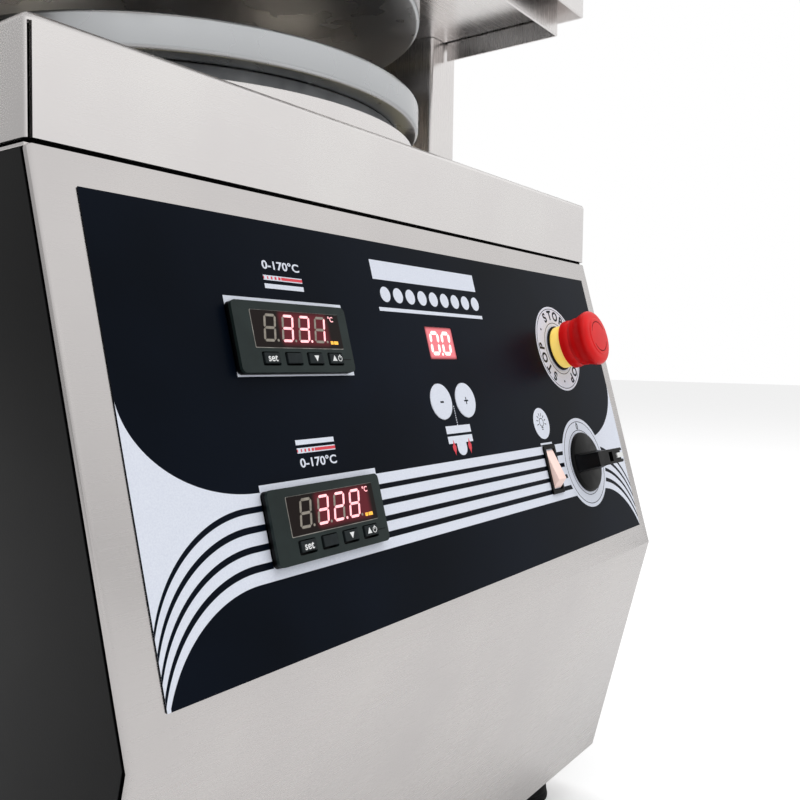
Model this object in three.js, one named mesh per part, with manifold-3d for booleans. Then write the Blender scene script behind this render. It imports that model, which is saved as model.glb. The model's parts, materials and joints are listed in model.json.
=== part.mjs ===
// Countertop hot press for pizza dough: a sloping control console, a pressing chamber between two
// heated plates, a motor-driven screw that lifts the lower plate, and a guard that slides down over
// the chamber. Millimetres, +Z up, front towards -Y. The axis of the press is X = 0, Y = 0.
import * as THREE from 'three';
import { mergeVertices } from 'three/addons/utils/BufferGeometryUtils.js';
import Module from 'manifold-3d';

const wasm = await Module();
wasm.setup();

// ---------------------------------------------------------------- driving dimensions
const GAP = 0.3;                 // between pieces that rest on or turn in each other
const SHEET = 2;                 // folded stainless and painted sheet
const FOLD = 3;                  // outside radius of a folded edge
const CORNER_STEPS = 3;          // facets on a folded edge

const HALF_WIDTH = 240;          // casing, side to side
const FRONT_Y = -212;            // face of the deck band, and top edge of the sloping panel
const BACK_Y = 258;              // back of the casing
const FOOT_HEIGHT = 40;
const FOOT_RADIUS = 25;
const FOOT_X = 195;
const FOOT_Y = [-185, 215];

const SLOPE = THREE.MathUtils.degToRad(15.8);       // lean of the control panel
const SLOPE_LENGTH = 228;                           // top edge to nose, along the panel
const LOWER_LEAN = THREE.MathUtils.degToRad(13.7);  // the front below the nose falls back
const NOSE_Z = 215;
const SILL_Z = NOSE_Z + SLOPE_LENGTH * Math.cos(SLOPE);
const PANEL_FOLD = 2.2;                             // outside radius of the front panel's edges
const RETURN_DEPTH = 3;                             // how far those edges turn back
const RETURN_GAP = 2.4;                             // between them and the side panels
const SIDE_INSET = 0.5;                             // side panels lie just inside the casing's width

const DECK_SHADOW_GAP = 2;
const DECK_SEAM = { inset: 1.1, width: 1.5, depth: 6 };   // open corner between its front and side flanges
const DECK_Z = SILL_Z + 48.4;
const HEAD_Z = DECK_Z + 151.2;
const HEAD_TOP_Z = 820;
const HEAD_FRONT_Y = -207;
const HEAD_CHAMFER = { rise: 42, run: 45 };
const CHEEK_WIDTH = 37;
const CHEEK_FRONT_Y = -83;

const COLUMN = { x: 220.5, radius: 12, stubRadius: 8, stubLength: 36 };
const BED = { top: 284, bottom: 262, halfDepth: 62, legX: 180, legWidth: 10 };
const CROWN = { bottom: 668, top: 690, halfDepth: 65, ribTop: 735 };
const BEAM_HALF_WIDTH = 236.5;

const PLATEN_RADIUS = 175;
const PLATEN_THICKNESS = 20;
const LOWER_PLATEN_TOP = 540;
const UPPER_PLATEN_BOTTOM = 600;   // 60 mm of daylight, which the ram closes
const CROSSHEAD = { bottom: 340, top: 365, halfDepth: 30, hubRadius: 35, hubBottom: 322 };
const SCREW = { radius: 12, journal: 10, bottom: 267, shoulder: 300.3, top: 430 };
const COUPLING = { radius: 22, top: 300, bottom: 262.3 };
const PEDESTAL = { radius: 50, bore: 40, flange: 100, foot: 60 };

const GUARD = { halfWidth: 225, frontY: -192, backY: -85, bottom: 618, height: 150 };
const HANDLE = { halfLength: 115, radius: 6, z: 625.5, y: -214, postX: 95 };
const SPINDLE = { radius: 15, thread: 8, shoulder: 725, top: 833 };
const KNOB = { radius: 32, bottom: 820.5, top: 850 };

const OVERLAY = { left: 17.7, right: 466.2, top: 14.5, bottom: 212.8, under: 0.3, over: 0.8 };
const CONTROLLER = { width: 75, height: 33, face: 5.3, bodyWidth: 70.4, bodyHeight: 28.4, depth: 58 };
const CONTROLLER_U = 117.6;
const CONTROLLER_V = { upper_controller: 73, lower_controller: 157.2 };
const KEY = { width: 9.4, height: 4.9, firstU: -18.8, pitch: 14.4, v: 9.8, floor: 2.1, back: 3.2, face: 5.8 };
const KEY_NAMES = ['set_key', 'blank_key', 'down_key', 'up_key'];
const DISPLAY = { u: 243.8, v: 71.5, width: 27.4, height: 19, depth: 14, face: 0.6 };
const TIMER_KEY = { radius: 10.5, v: 106.3, face: 1.2, back: 0.7, stemRadius: 4, stemEnd: -6 };
const TIMER_KEY_U = { timer_minus_key: 230.7, timer_plus_key: 256.2 };
const STOP = { u: 395.8, v: 72.2, barrel: 11, stem: 6, collar: 15.3, gasket: 16.4 };
const SWITCH = { u: 395.9, v: 156.7, disc: 21.5, discFace: 4.2, gripFace: 21.5, gripWidth: 10.5, shaft: 5 };
const ROCKER = { u: 345, v: 157.1, width: 16, height: 32.6, keyWidth: 10.8, face: 2.4 };

// ---------------------------------------------------------------- finishes
const finish = (color, roughness, metalness) => new THREE.MeshStandardMaterial({ color, roughness, metalness });
const STAINLESS = finish(0xd0cdcb, 0.38, 0.9);
const BLACK_PAINT = finish(0x1b1b1d, 0.55, 0.1);
const MILD_STEEL = finish(0x8d9094, 0.5, 0.8);
const GROUND_STEEL = finish(0xc2c4c6, 0.25, 0.95);
const ALUMINIUM = finish(0xa9abad, 0.45, 0.85);
const HEATER_PLATE = finish(0x6f7173, 0.6, 0.6);
const INSULATION = finish(0xd9cfb4, 0.9, 0);
const MACHINE_PAINT = finish(0x5c6a72, 0.5, 0.2);
const RUBBER = finish(0x18181a, 0.85, 0);
const OVERLAY_FILM = finish(0x141a26, 0.45, 0);
const BEZEL_PLASTIC = finish(0x2f3a3b, 0.5, 0);
const KEY_PLASTIC = finish(0x23292b, 0.6, 0);
const BLACK_PLASTIC = finish(0x101012, 0.45, 0);
const WHITE_PLASTIC = finish(0xe4e6ea, 0.5, 0);
const RED_PLASTIC = finish(0xc80f12, 0.35, 0);
const YELLOW_PLASTIC = finish(0xf0d070, 0.5, 0);
const RED_WINDOW = finish(0x5c0c12, 0.2, 0);
const ROCKER_PLASTIC = finish(0xf6dcd6, 0.3, 0);
const LAMP_GLASS = finish(0xf1eee2, 0.2, 0);

// ---------------------------------------------------------------- solids
// A closed geometry as a solid that can be joined and cut.
function solid(geometry) {
  geometry.deleteAttribute('normal');
  geometry.deleteAttribute('uv');
  const merged = mergeVertices(geometry, 1e-4);
  return new wasm.Manifold(new wasm.Mesh({
    numProp: 3,
    vertProperties: new Float32Array(merged.attributes.position.array),
    triVerts: new Uint32Array(merged.index.array),
  }));
}

function geometryOf(manifold) {
  const mesh = manifold.getMesh();
  const geometry = new THREE.BufferGeometry();
  geometry.setAttribute('position', new THREE.BufferAttribute(new Float32Array(mesh.vertProperties), 3));
  geometry.setIndex(new THREE.BufferAttribute(new Uint32Array(mesh.triVerts), 1));
  return geometry;
}

const range = (count) => [...Array(count).keys()];
const join = (first, ...others) => others.reduce((whole, other) => whole.add(other), first);
const cut = (first, ...others) => others.reduce((whole, other) => whole.subtract(other), first);

// A box by its low and high corner on each axis.
function block([x0, x1], [y0, y1], [z0, z1]) {
  return solid(new THREE.BoxGeometry(x1 - x0, y1 - y0, z1 - z0)
    .translate((x0 + x1) / 2, (y0 + y1) / 2, (z0 + z1) / 2));
}

// A cylinder along Z, or along Y when lying.
function rod(radius, [low, high], [a, b] = [0, 0], sides = 24, lying = false) {
  const geometry = new THREE.CylinderGeometry(radius, radius, high - low, sides);
  if (lying) return solid(geometry.translate(a, (low + high) / 2, b));
  return solid(geometry.rotateX(Math.PI / 2).translate(a, b, (low + high) / 2));
}

// A turned piece about Z from [radius, height] points that start and end on the axis, or that
// close on themselves round a bore.
function turned(points, sides = 32) {
  const closed = points[0][0] > 0 ? [...points, points[0]] : points;
  const profile = closed.map(([radius, height]) => new THREE.Vector2(radius, height));
  return solid(new THREE.LatheGeometry(profile, sides).rotateX(Math.PI / 2));
}

const outline = (points) => new THREE.Shape(points.map(([a, b]) => new THREE.Vector2(a, b)));

// A [y, z] outline drawn out along X, with its two ends rounded off by the fold radius if asked.
function alongX(points, halfWidth, round = 0) {
  const options = round
    ? { depth: 2 * (halfWidth - round), bevelEnabled: true, bevelThickness: round, bevelSize: round,
      bevelOffset: -round, bevelSegments: CORNER_STEPS }
    : { depth: 2 * halfWidth, bevelEnabled: false };
  const geometry = new THREE.ExtrudeGeometry(outline(points), options);
  // The extrusion runs along its own Z: turn that onto X, its X onto Y and its Y onto Z.
  const turn = new THREE.Matrix4().makeBasis(
    new THREE.Vector3(0, 1, 0), new THREE.Vector3(0, 0, 1), new THREE.Vector3(1, 0, 0));
  return solid(geometry.translate(0, 0, round - halfWidth).applyMatrix4(turn));
}

function roundedRectangle([x0, x1], [y0, y1], radius) {
  const shape = new THREE.Shape();
  shape.absarc(x1 - radius, y1 - radius, radius, 0, Math.PI / 2);
  shape.absarc(x0 + radius, y1 - radius, radius, Math.PI / 2, Math.PI);
  shape.absarc(x0 + radius, y0 + radius, radius, Math.PI, 1.5 * Math.PI);
  shape.absarc(x1 - radius, y0 + radius, radius, 1.5 * Math.PI, 2 * Math.PI);
  return shape;
}

// A slab with rounded corners in plan, and its top and bottom edges rounded too if asked.
function slab(xs, ys, [low, high], radius, round = 0) {
  const depth = high - low - 2 * round;
  const geometry = new THREE.ExtrudeGeometry(roundedRectangle(xs, ys, radius), {
    depth, curveSegments: CORNER_STEPS, bevelEnabled: round > 0, bevelThickness: round,
    bevelSize: round, bevelOffset: -round, bevelSegments: 2,
  });
  return solid(geometry.translate(0, 0, low + round));
}

const press = new THREE.Group();

function place(name, shape, material, group = press) {
  const mesh = new THREE.Mesh(geometryOf(shape), material);
  mesh.name = name;
  group.add(mesh);
}

// ---------------------------------------------------------------- casing
// The front outline as [y, z], moved into the casing by a distance square to each face.
function frontLine(inset, top = SILL_Z, bottom = FOOT_HEIGHT) {
  const noseY = FRONT_Y - SLOPE_LENGTH * Math.sin(SLOPE);
  const turn = (SLOPE + LOWER_LEAN) / 2;
  // The moved nose lies on the line that halves the bend.
  const reach = inset / Math.cos(turn);
  const lean = (LOWER_LEAN - SLOPE) / 2;
  const nose = [noseY + reach * Math.cos(lean), NOSE_Z + reach * Math.sin(lean)];
  const upper = [nose[0] + (top - nose[1]) * Math.tan(SLOPE), top];
  const lower = [nose[0] + (nose[1] - bottom) * Math.tan(LOWER_LEAN), bottom];
  return [upper, nose, lower];
}

// The control panel and the front below it are one folded sheet with its edges turned back.
function frontPanel() {
  const full = alongX([...frontLine(0), ...frontLine(RETURN_DEPTH + 8).reverse()], HALF_WIDTH, PANEL_FOLD);
  const reach = alongX([...frontLine(-5, SILL_Z + 1, 30), ...frontLine(RETURN_DEPTH, SILL_Z + 1, 30).reverse()],
    HALF_WIDTH + 5);
  const top = SILL_Z - SHEET;
  const bottom = FOOT_HEIGHT + SHEET;
  const hollow = alongX(
    [...frontLine(SHEET, top, bottom), ...frontLine(RETURN_DEPTH + 5, top, bottom).reverse()],
    HALF_WIDTH - SHEET);
  return cut(full.intersect(reach), hollow, ...panelOpenings());
}

// The console's own frame: X to the right from the middle, Y up the slope from the panel's top
// edge, Z out of the panel. Pieces are set out by u, from the left edge, and v, down the slope.
const toConsole = new THREE.Matrix4()
  .makeTranslation(0, FRONT_Y, SILL_Z)
  .multiply(new THREE.Matrix4().makeRotationX(Math.PI / 2 - SLOPE));

const at = (u, v) => [u - HALF_WIDTH, -v];
const around = (middle, size) => [middle - size / 2, middle + size / 2];

function consoleBlock(u, v, width, height, depths) {
  const [x, y] = at(u, v);
  return block(around(x, width), around(y, height), depths);
}

const consoleRod = (u, v, radius, depths, sides = 24) => rod(radius, depths, at(u, v), sides);

// The openings for the instruments, cut right through a band of heights above the panel.
function consoleOpenings(depths) {
  const openings = Object.values(CONTROLLER_V).map((v) => consoleBlock(
    CONTROLLER_U, v, CONTROLLER.bodyWidth + 2 * GAP, CONTROLLER.bodyHeight + 2 * GAP, depths));
  openings.push(consoleBlock(DISPLAY.u, DISPLAY.v, DISPLAY.width + 2 * GAP, DISPLAY.height + 2 * GAP, depths));
  openings.push(consoleRod(STOP.u, STOP.v, STOP.barrel + GAP, depths));
  openings.push(consoleRod(SWITCH.u, SWITCH.v, SWITCH.shaft + GAP, depths));
  openings.push(consoleBlock(ROCKER.u, ROCKER.v, ROCKER.width - 2, ROCKER.height - 2, depths));
  return openings;
}

function panelOpenings() {
  const depths = [-10, 10];
  const stems = Object.values(TIMER_KEY_U).map((u) => consoleRod(u, TIMER_KEY.v, TIMER_KEY.stemRadius + GAP, depths, 16));
  const place3 = toConsole.toArray();
  return [...consoleOpenings(depths), ...stems].map((opening) => opening.transform(place3));
}

function sidePanel(side) {
  const front = frontLine(RETURN_DEPTH + RETURN_GAP, SILL_Z - 1, FOOT_HEIGHT + SHEET);
  const back = BACK_Y - SHEET - GAP;
  const sheet = alongX([...front, [back, FOOT_HEIGHT + SHEET], [back, SILL_Z - 1]], SHEET / 2)
    .translate([side * (HALF_WIDTH - SIDE_INSET - SHEET / 2), 0, 0]);
  const slots = range(7).map((i) => block([-260, 260], [90, 210], [110 + 18 * i, 116 + 18 * i]));
  return cut(sheet, ...slots);
}

function buildCasing() {
  const inner = HALF_WIDTH - SIDE_INSET - SHEET - GAP;
  const panFront = frontLine(RETURN_DEPTH)[2][0] + GAP;
  const panBack = BACK_Y - SHEET - GAP;
  const pan = cut(
    block([-inner, inner], [panFront, panBack], [FOOT_HEIGHT, FOOT_HEIGHT + 20]),
    block([SHEET - inner, inner - SHEET], [panFront - 5, panBack - SHEET], [FOOT_HEIGHT + SHEET, FOOT_HEIGHT + 30]));
  place('base_pan', pan, STAINLESS);
  place('front_panel', frontPanel(), STAINLESS);
  place('left_side_panel', sidePanel(-1), BLACK_PAINT);
  place('right_side_panel', sidePanel(1), BLACK_PAINT);

  const rearX = HALF_WIDTH - SIDE_INSET;
  const louvres = range(8).map((i) => block([-140, 60], [250, 265], [210 + 20 * i, 216 + 20 * i]));
  const rear = cut(
    block([-rearX, rearX], [BACK_Y - SHEET, BACK_Y], [FOOT_HEIGHT + SHEET, SILL_Z - 1]),
    rod(GLAND.thread + GAP, [250, 265], [GLAND.x, GLAND.z], 24, true), ...louvres);
  place('rear_panel', rear, STAINLESS);

  const deckLow = SILL_Z + DECK_SHADOW_GAP;
  const deck = cut(
    slab([-HALF_WIDTH, HALF_WIDTH], [FRONT_Y, BACK_Y], [deckLow - 10, DECK_Z], FOLD + 0.5, FOLD),
    block([-300, 300], [-400, 400], [deckLow - 20, deckLow]),
    slab([SHEET - HALF_WIDTH, HALF_WIDTH - SHEET], [FRONT_Y + SHEET, BACK_Y - SHEET],
      [deckLow - 20, DECK_Z - SHEET], 1),
    rod(PEDESTAL.radius + 2, [450, 500], [0, 0], 32),
    rod(COLUMN.radius + 0.6, [450, 500], [-COLUMN.x, 0]),
    rod(COLUMN.radius + 0.6, [450, 500], [COLUMN.x, 0]),
    ...[-1, 1].map((side) => deckSeam(side, deckLow)));
  place('deck_cover', deck, STAINLESS);

  for (const [name, side] of [['left_cheek', -1], ['right_cheek', 1]]) {
    const xs = [side * (HALF_WIDTH - CHEEK_WIDTH), side * HALF_WIDTH].sort((a, b) => a - b);
    const heights = [DECK_Z + GAP, HEAD_Z - GAP];
    const back = BACK_Y - GAP;
    const cheek = cut(
      slab(xs, [CHEEK_FRONT_Y, back], heights, FOLD),
      slab([xs[0] + SHEET, xs[1] - SHEET], [CHEEK_FRONT_Y + SHEET, back - SHEET], [400, 700], 1));
    place(name, cheek, STAINLESS);
  }
  const betweenCheeks = HALF_WIDTH - CHEEK_WIDTH - GAP;
  place('upper_rear_cover', block(
    [-betweenCheeks, betweenCheeks], [BACK_Y - SHEET, BACK_Y], [DECK_Z + GAP, HEAD_Z - GAP]), STAINLESS);
  place('head_cover', headCover(), STAINLESS);
  place('head_underplate', headUnderplate(), STAINLESS);

  const foot = [[0, 0], [FOOT_RADIUS - 3, 0], [FOOT_RADIUS, 3], [FOOT_RADIUS - 4, 30],
    [FOOT_RADIUS - 8, FOOT_HEIGHT - GAP], [0, FOOT_HEIGHT - GAP]];
  for (const [depthName, y] of [['front', FOOT_Y[0]], ['back', FOOT_Y[1]]]) {
    for (const [sideName, x] of [['left', -FOOT_X], ['right', FOOT_X]]) {
      place(`foot_${depthName}_${sideName}`, turned(foot, 20).translate([x, y, 0]), RUBBER);
    }
  }
  place('chamber_lamp', slab([-45, 45], [225, 249], [HEAD_Z - 22, HEAD_Z - GAP], 4), LAMP_GLASS);
  place('cable_gland', cableGland(), BLACK_PLASTIC);
}

// The slit left where the deck's front and side flanges are folded down and not welded.
function deckSeam(side, deckLow) {
  const outer = HALF_WIDTH - DECK_SEAM.inset;
  const xs = [side * outer, side * (outer - DECK_SEAM.width)].sort((a, b) => a - b);
  return block(xs, [FRONT_Y - 1, FRONT_Y + DECK_SEAM.depth], [deckLow - 5, DECK_Z - FOLD - 1]);
}

function headCover() {
  const { rise, run } = HEAD_CHAMFER;
  const inset = SHEET * Math.tan(Math.atan2(run, rise) / 2);
  const shell = [[HEAD_FRONT_Y, HEAD_Z - 10], [HEAD_FRONT_Y, HEAD_TOP_Z - rise],
    [HEAD_FRONT_Y + run, HEAD_TOP_Z], [BACK_Y, HEAD_TOP_Z], [BACK_Y, HEAD_Z - 10]];
  const hollow = [[HEAD_FRONT_Y + SHEET, HEAD_Z - 20],
    [HEAD_FRONT_Y + SHEET, HEAD_TOP_Z - rise - inset * rise / run],
    [HEAD_FRONT_Y + run + inset, HEAD_TOP_Z - SHEET], [BACK_Y - SHEET, HEAD_TOP_Z - SHEET],
    [BACK_Y - SHEET, HEAD_Z - 20]];
  const vents = range(6).map((i) => block([-110, 110], [250, 265], [680 + 18 * i, 686 + 18 * i]));
  return cut(
    alongX(shell, HALF_WIDTH, FOLD),
    block([-300, 300], [-400, 400], [HEAD_Z - 30, HEAD_Z]),
    alongX(hollow, HALF_WIDTH - SHEET),
    rod(SPINDLE.thread + 0.6, [800, 840]), ...vents);
}

// Closes the head from below, inside the guard's U, and lets the upper plate through.
function headUnderplate() {
  const halfWidth = GUARD.halfWidth - SHEET - 2;
  return cut(
    block([-halfWidth, halfWidth], [GUARD.frontY + SHEET + 3, BACK_Y - SHEET - GAP], [HEAD_Z, HEAD_Z + SHEET]),
    rod(PLATEN_RADIUS - 1, [600, 700], [0, 0], 40),
    rod(COLUMN.radius + 1, [600, 700], [-COLUMN.x, 0]),
    rod(COLUMN.radius + 1, [600, 700], [COLUMN.x, 0]));
}

const GLAND = { x: 150, z: 110, thread: 8, nut: 13, reach: 276.5 };

// A screwed gland with an open bore, where the supply lead enters.
function cableGland() {
  const { x, z, thread, nut, reach } = GLAND;
  const body = join(
    rod(thread, [BACK_Y - 12, BACK_Y + 2], [x, z], 20, true),
    rod(nut, [BACK_Y + GAP, BACK_Y + 8], [x, z], 6, true),
    rod(thread + 2, [BACK_Y + 6, reach], [x, z], 20, true));
  return cut(body, rod(4, [BACK_Y - 20, reach + 5], [x, z], 12, true));
}

// ---------------------------------------------------------------- press frame and drive
function buildFrame() {
  const { top, bottom, halfDepth, legX, legWidth } = BED;
  const legs = [-1, 1].map((side) => block(
    [side * legX, side * (legX + legWidth)].sort((a, b) => a - b), [-halfDepth, halfDepth],
    [FOOT_HEIGHT + SHEET + GAP, bottom + 1]));
  const bed = cut(
    join(block([-BEAM_HALF_WIDTH, BEAM_HALF_WIDTH], [-halfDepth, halfDepth], [bottom, top]), ...legs),
    rod(COUPLING.radius + 8, [bottom - 5, top + 5], [0, 0], 32),
    ...[-1, 1].map((side) => rod(COLUMN.stubRadius + GAP, [bottom - 5, top + 5], [side * COLUMN.x, 0])));
  place('press_bed', bed, MILD_STEEL);

  const low = BED.top + GAP;
  const high = CROWN.bottom - GAP;
  const { radius, stubRadius, stubLength } = COLUMN;
  const column = [[0, low - stubLength], [stubRadius, low - stubLength], [stubRadius, low], [radius, low],
    [radius, high], [stubRadius, high], [stubRadius, high + stubLength], [0, high + stubLength]];
  place('tie_column_left', turned(column, 20).translate([-COLUMN.x, 0, 0]), GROUND_STEEL);
  place('tie_column_right', turned(column, 20).translate([COLUMN.x, 0, 0]), GROUND_STEEL);

  const ribs = [-1, 1].map((side) => block(
    [-190, 190], [side * 45, side * 55].sort((a, b) => a - b), [CROWN.top - 1, CROWN.ribTop]));
  const crown = cut(
    join(block([-BEAM_HALF_WIDTH, BEAM_HALF_WIDTH], [-CROWN.halfDepth, CROWN.halfDepth], [CROWN.bottom, CROWN.top]),
      ...ribs),
    rod(SPINDLE.radius + GAP, [CROWN.bottom - 5, CROWN.top + 5], [0, 0], 32),
    ...[-1, 1].map((side) => rod(COLUMN.stubRadius + GAP, [CROWN.bottom - 5, CROWN.top + 5], [side * COLUMN.x, 0])));
  place('press_crown', crown, MILD_STEEL);
}

const GEARBOX = { halfWidth: 55, frontY: -55, backY: 60, bottom: 132 };
const MOTOR = { x: -45, z: 195, radius: 56, flange: 60, back: 235 };

function buildDrive() {
  const { halfWidth, frontY, backY, bottom } = GEARBOX;
  const gearTop = BED.bottom - GAP;
  place('gearbox', join(
    slab([-halfWidth, halfWidth], [frontY, backY], [bottom, gearTop], 8),
    block([-halfWidth - 12, halfWidth + 12], [frontY + 8, backY - 8], [gearTop - 14, gearTop])), MACHINE_PAINT);

  const { x, z, radius, flange, back } = MOTOR;
  place('motor', join(
    rod(flange, [backY + GAP, backY + 12], [x, z], 32, true),
    rod(radius, [backY + 10, back - 26], [x, z], 32, true),
    rod(radius - 3, [back - 27, back], [x, z], 32, true),
    block([x - 32, x + 32], [backY + 45, backY + 115], [z + radius - 8, z + radius + 26])), MACHINE_PAINT);

  const screw = [[0, SCREW.bottom], [SCREW.journal, SCREW.bottom], [SCREW.journal, SCREW.shoulder],
    [SCREW.radius, SCREW.shoulder], [SCREW.radius, SCREW.top], [0, SCREW.top]];
  place('drive_screw', turned(screw, 24), GROUND_STEEL);
  const bore = SCREW.journal + GAP;
  const coupling = [[0, COUPLING.bottom], [COUPLING.radius, COUPLING.bottom], [COUPLING.radius, COUPLING.top],
    [bore, COUPLING.top], [bore, SCREW.bottom - GAP], [0, SCREW.bottom - GAP]];
  place('shaft_coupling', turned(coupling, 24), MILD_STEEL);
}

// ---------------------------------------------------------------- lower plate and its lift
function buildRam() {
  const beam = join(
    block([-BEAM_HALF_WIDTH, BEAM_HALF_WIDTH], [-CROSSHEAD.halfDepth, CROSSHEAD.halfDepth],
      [CROSSHEAD.bottom, CROSSHEAD.top]),
    rod(CROSSHEAD.hubRadius, [CROSSHEAD.hubBottom, CROSSHEAD.top], [0, 0], 32));
  const bores = [-1, 1].map((side) => rod(COLUMN.radius + GAP, [300, 400], [side * COLUMN.x, 0]));
  place('crosshead', cut(beam, rod(SCREW.radius + GAP, [300, 400]), ...bores), MILD_STEEL);

  const foot = CROSSHEAD.top + GAP;
  const insulationTop = LOWER_PLATEN_TOP - PLATEN_THICKNESS - 10.7;
  const flangeTop = insulationTop - 15 - GAP;
  const pedestal = [[PEDESTAL.bore, foot], [PEDESTAL.foot, foot], [PEDESTAL.foot, foot + 8],
    [PEDESTAL.radius, foot + 8], [PEDESTAL.radius, flangeTop - 8], [PEDESTAL.flange, flangeTop - 8],
    [PEDESTAL.flange, flangeTop], [PEDESTAL.bore, flangeTop]];
  place('pedestal', turned(pedestal, 28), MILD_STEEL);
  place('lower_insulation', rod(PLATEN_RADIUS - 5, [insulationTop - 15, insulationTop], [0, 0], 36), INSULATION);
  place('lower_heater', rod(PLATEN_RADIUS - 15, [insulationTop + GAP, insulationTop + 10.4], [0, 0], 36), HEATER_PLATE);
  place('lower_platen', rod(
    PLATEN_RADIUS, [LOWER_PLATEN_TOP - PLATEN_THICKNESS, LOWER_PLATEN_TOP], [0, 0], 48), ALUMINIUM);
}

// ---------------------------------------------------------------- upper plate and its adjustment
function buildUpperPlate() {
  const platenTop = UPPER_PLATEN_BOTTOM + PLATEN_THICKNESS;
  place('upper_platen', rod(PLATEN_RADIUS, [UPPER_PLATEN_BOTTOM, platenTop], [0, 0], 48), ALUMINIUM);
  place('upper_heater', rod(PLATEN_RADIUS - 15, [platenTop + GAP, platenTop + 10.7], [0, 0], 36), HEATER_PLATE);
  place('upper_insulation', rod(PLATEN_RADIUS - 5, [platenTop + 11, platenTop + 26], [0, 0], 36), INSULATION);
  const flange = platenTop + 26 + GAP;
  const spindle = [[0, flange], [80, flange], [80, flange + 8], [SPINDLE.radius, flange + 8],
    [SPINDLE.radius, SPINDLE.shoulder], [SPINDLE.thread, SPINDLE.shoulder], [SPINDLE.thread, SPINDLE.top],
    [0, SPINDLE.top]];
  place('adjust_spindle', turned(spindle, 20), GROUND_STEEL);

  const bore = SPINDLE.thread + GAP;
  const knob = cut(
    turned([[0, KNOB.bottom], [KNOB.radius - 10, KNOB.bottom], [KNOB.radius - 10, KNOB.bottom + 6],
      [KNOB.radius, KNOB.bottom + 8], [KNOB.radius, KNOB.top - 4], [KNOB.radius - 4, KNOB.top], [0, KNOB.top]], 24),
    rod(bore, [KNOB.bottom - 5, KNOB.top - 4]),
    ...range(6).map((i) => rod(5, [KNOB.bottom + 7, KNOB.top + 5],
      [(KNOB.radius + 2) * Math.cos(i * Math.PI / 3), (KNOB.radius + 2) * Math.sin(i * Math.PI / 3)], 8)));
  place('adjust_knob', knob, BLACK_PLASTIC);
}

// ---------------------------------------------------------------- guard
function buildGuard() {
  const { halfWidth, frontY, backY, bottom, height } = GUARD;
  const top = bottom + height;
  const slotPitch = 2 * (halfWidth - 25) / 16;
  const slots = range(17).map((i) => {
    const x = 25 - halfWidth + i * slotPitch;
    return block([x - 5, x + 5], [frontY - 5, frontY + 5], [bottom + 28, top - 28]);
  });
  const sideSlots = range(4).map((i) => block([-300, 300], around(frontY + 20 + 24 * i, 10), [bottom + 28, top - 28]));
  const shield = cut(
    slab([-halfWidth, halfWidth], [frontY, backY + 20], [bottom, top], FOLD),
    slab([SHEET - halfWidth, halfWidth - SHEET], [frontY + SHEET, backY + 40], [bottom - 5, top + 5], 1),
    block([-300, 300], [backY, backY + 60], [bottom - 5, top + 5]), ...slots, ...sideSlots);
  place('guard_shield', shield, STAINLESS);

  const bar = solid(new THREE.CylinderGeometry(HANDLE.radius, HANDLE.radius, 2 * HANDLE.halfLength, 16)
    .rotateZ(Math.PI / 2).translate(0, HANDLE.y, HANDLE.z));
  const posts = [-1, 1].map((side) => rod(
    HANDLE.radius - 1, [HANDLE.y, frontY - GAP], [side * HANDLE.postX, HANDLE.z], 12, true));
  place('guard_handle', join(bar, ...posts), BLACK_PLASTIC);
}

// ---------------------------------------------------------------- console
const consoleGroup = new THREE.Group();
toConsole.decompose(consoleGroup.position, consoleGroup.quaternion, consoleGroup.scale);
press.add(consoleGroup);
const fit = (name, shape, material) => place(name, shape, material, consoleGroup);

function buildOverlay() {
  const { left, right, top, bottom, under, over } = OVERLAY;
  const [x0, yTop] = at(left, top);
  const [x1, yBottom] = at(right, bottom);
  const keyHoles = Object.values(TIMER_KEY_U).map((u) => consoleRod(u, TIMER_KEY.v, TIMER_KEY.radius + GAP, [-5, 5], 32));
  fit('control_overlay', cut(
    slab([x0, x1], [yBottom, yTop], [under, over], 0.2), ...consoleOpenings([-5, 5]), ...keyHoles), OVERLAY_FILM);
}

function buildControllers() {
  const seat = OVERLAY.over + GAP;
  for (const [name, v] of Object.entries(CONTROLLER_V)) {
    const [x, y] = at(CONTROLLER_U, v);
    const bezel = slab(around(x, CONTROLLER.width), around(y, CONTROLLER.height), [seat, CONTROLLER.face], 2);
    const body = consoleBlock(CONTROLLER_U, v, CONTROLLER.bodyWidth, CONTROLLER.bodyHeight, [-CONTROLLER.depth, seat + 1]);
    const keys = KEY_NAMES.map((keyName, i) => [keyName, CONTROLLER_U + KEY.firstU + i * KEY.pitch, v + KEY.v]);
    const pockets = keys.map(([, u, keyV]) => consoleBlock(
      u, keyV, KEY.width + 2 * GAP, KEY.height + 2 * GAP, [KEY.floor, 10]));
    fit(name, cut(join(bezel, body), ...pockets), BEZEL_PLASTIC);
    for (const [keyName, u, keyV] of keys) {
      fit(`${name.split('_')[0]}_${keyName}`, consoleBlock(u, keyV, KEY.width, KEY.height, [KEY.back, KEY.face]), KEY_PLASTIC);
    }
  }
}

function buildTimer() {
  fit('timer_display', consoleBlock(
    DISPLAY.u, DISPLAY.v, DISPLAY.width, DISPLAY.height, [-DISPLAY.depth, DISPLAY.face]), RED_WINDOW);
  for (const [name, u] of Object.entries(TIMER_KEY_U)) {
    fit(name, join(
      consoleRod(u, TIMER_KEY.v, TIMER_KEY.radius, [TIMER_KEY.back, TIMER_KEY.face], 32),
      consoleRod(u, TIMER_KEY.v, TIMER_KEY.stemRadius, [TIMER_KEY.stemEnd, TIMER_KEY.face - 0.2], 16)), WHITE_PLASTIC);
  }
}

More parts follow.
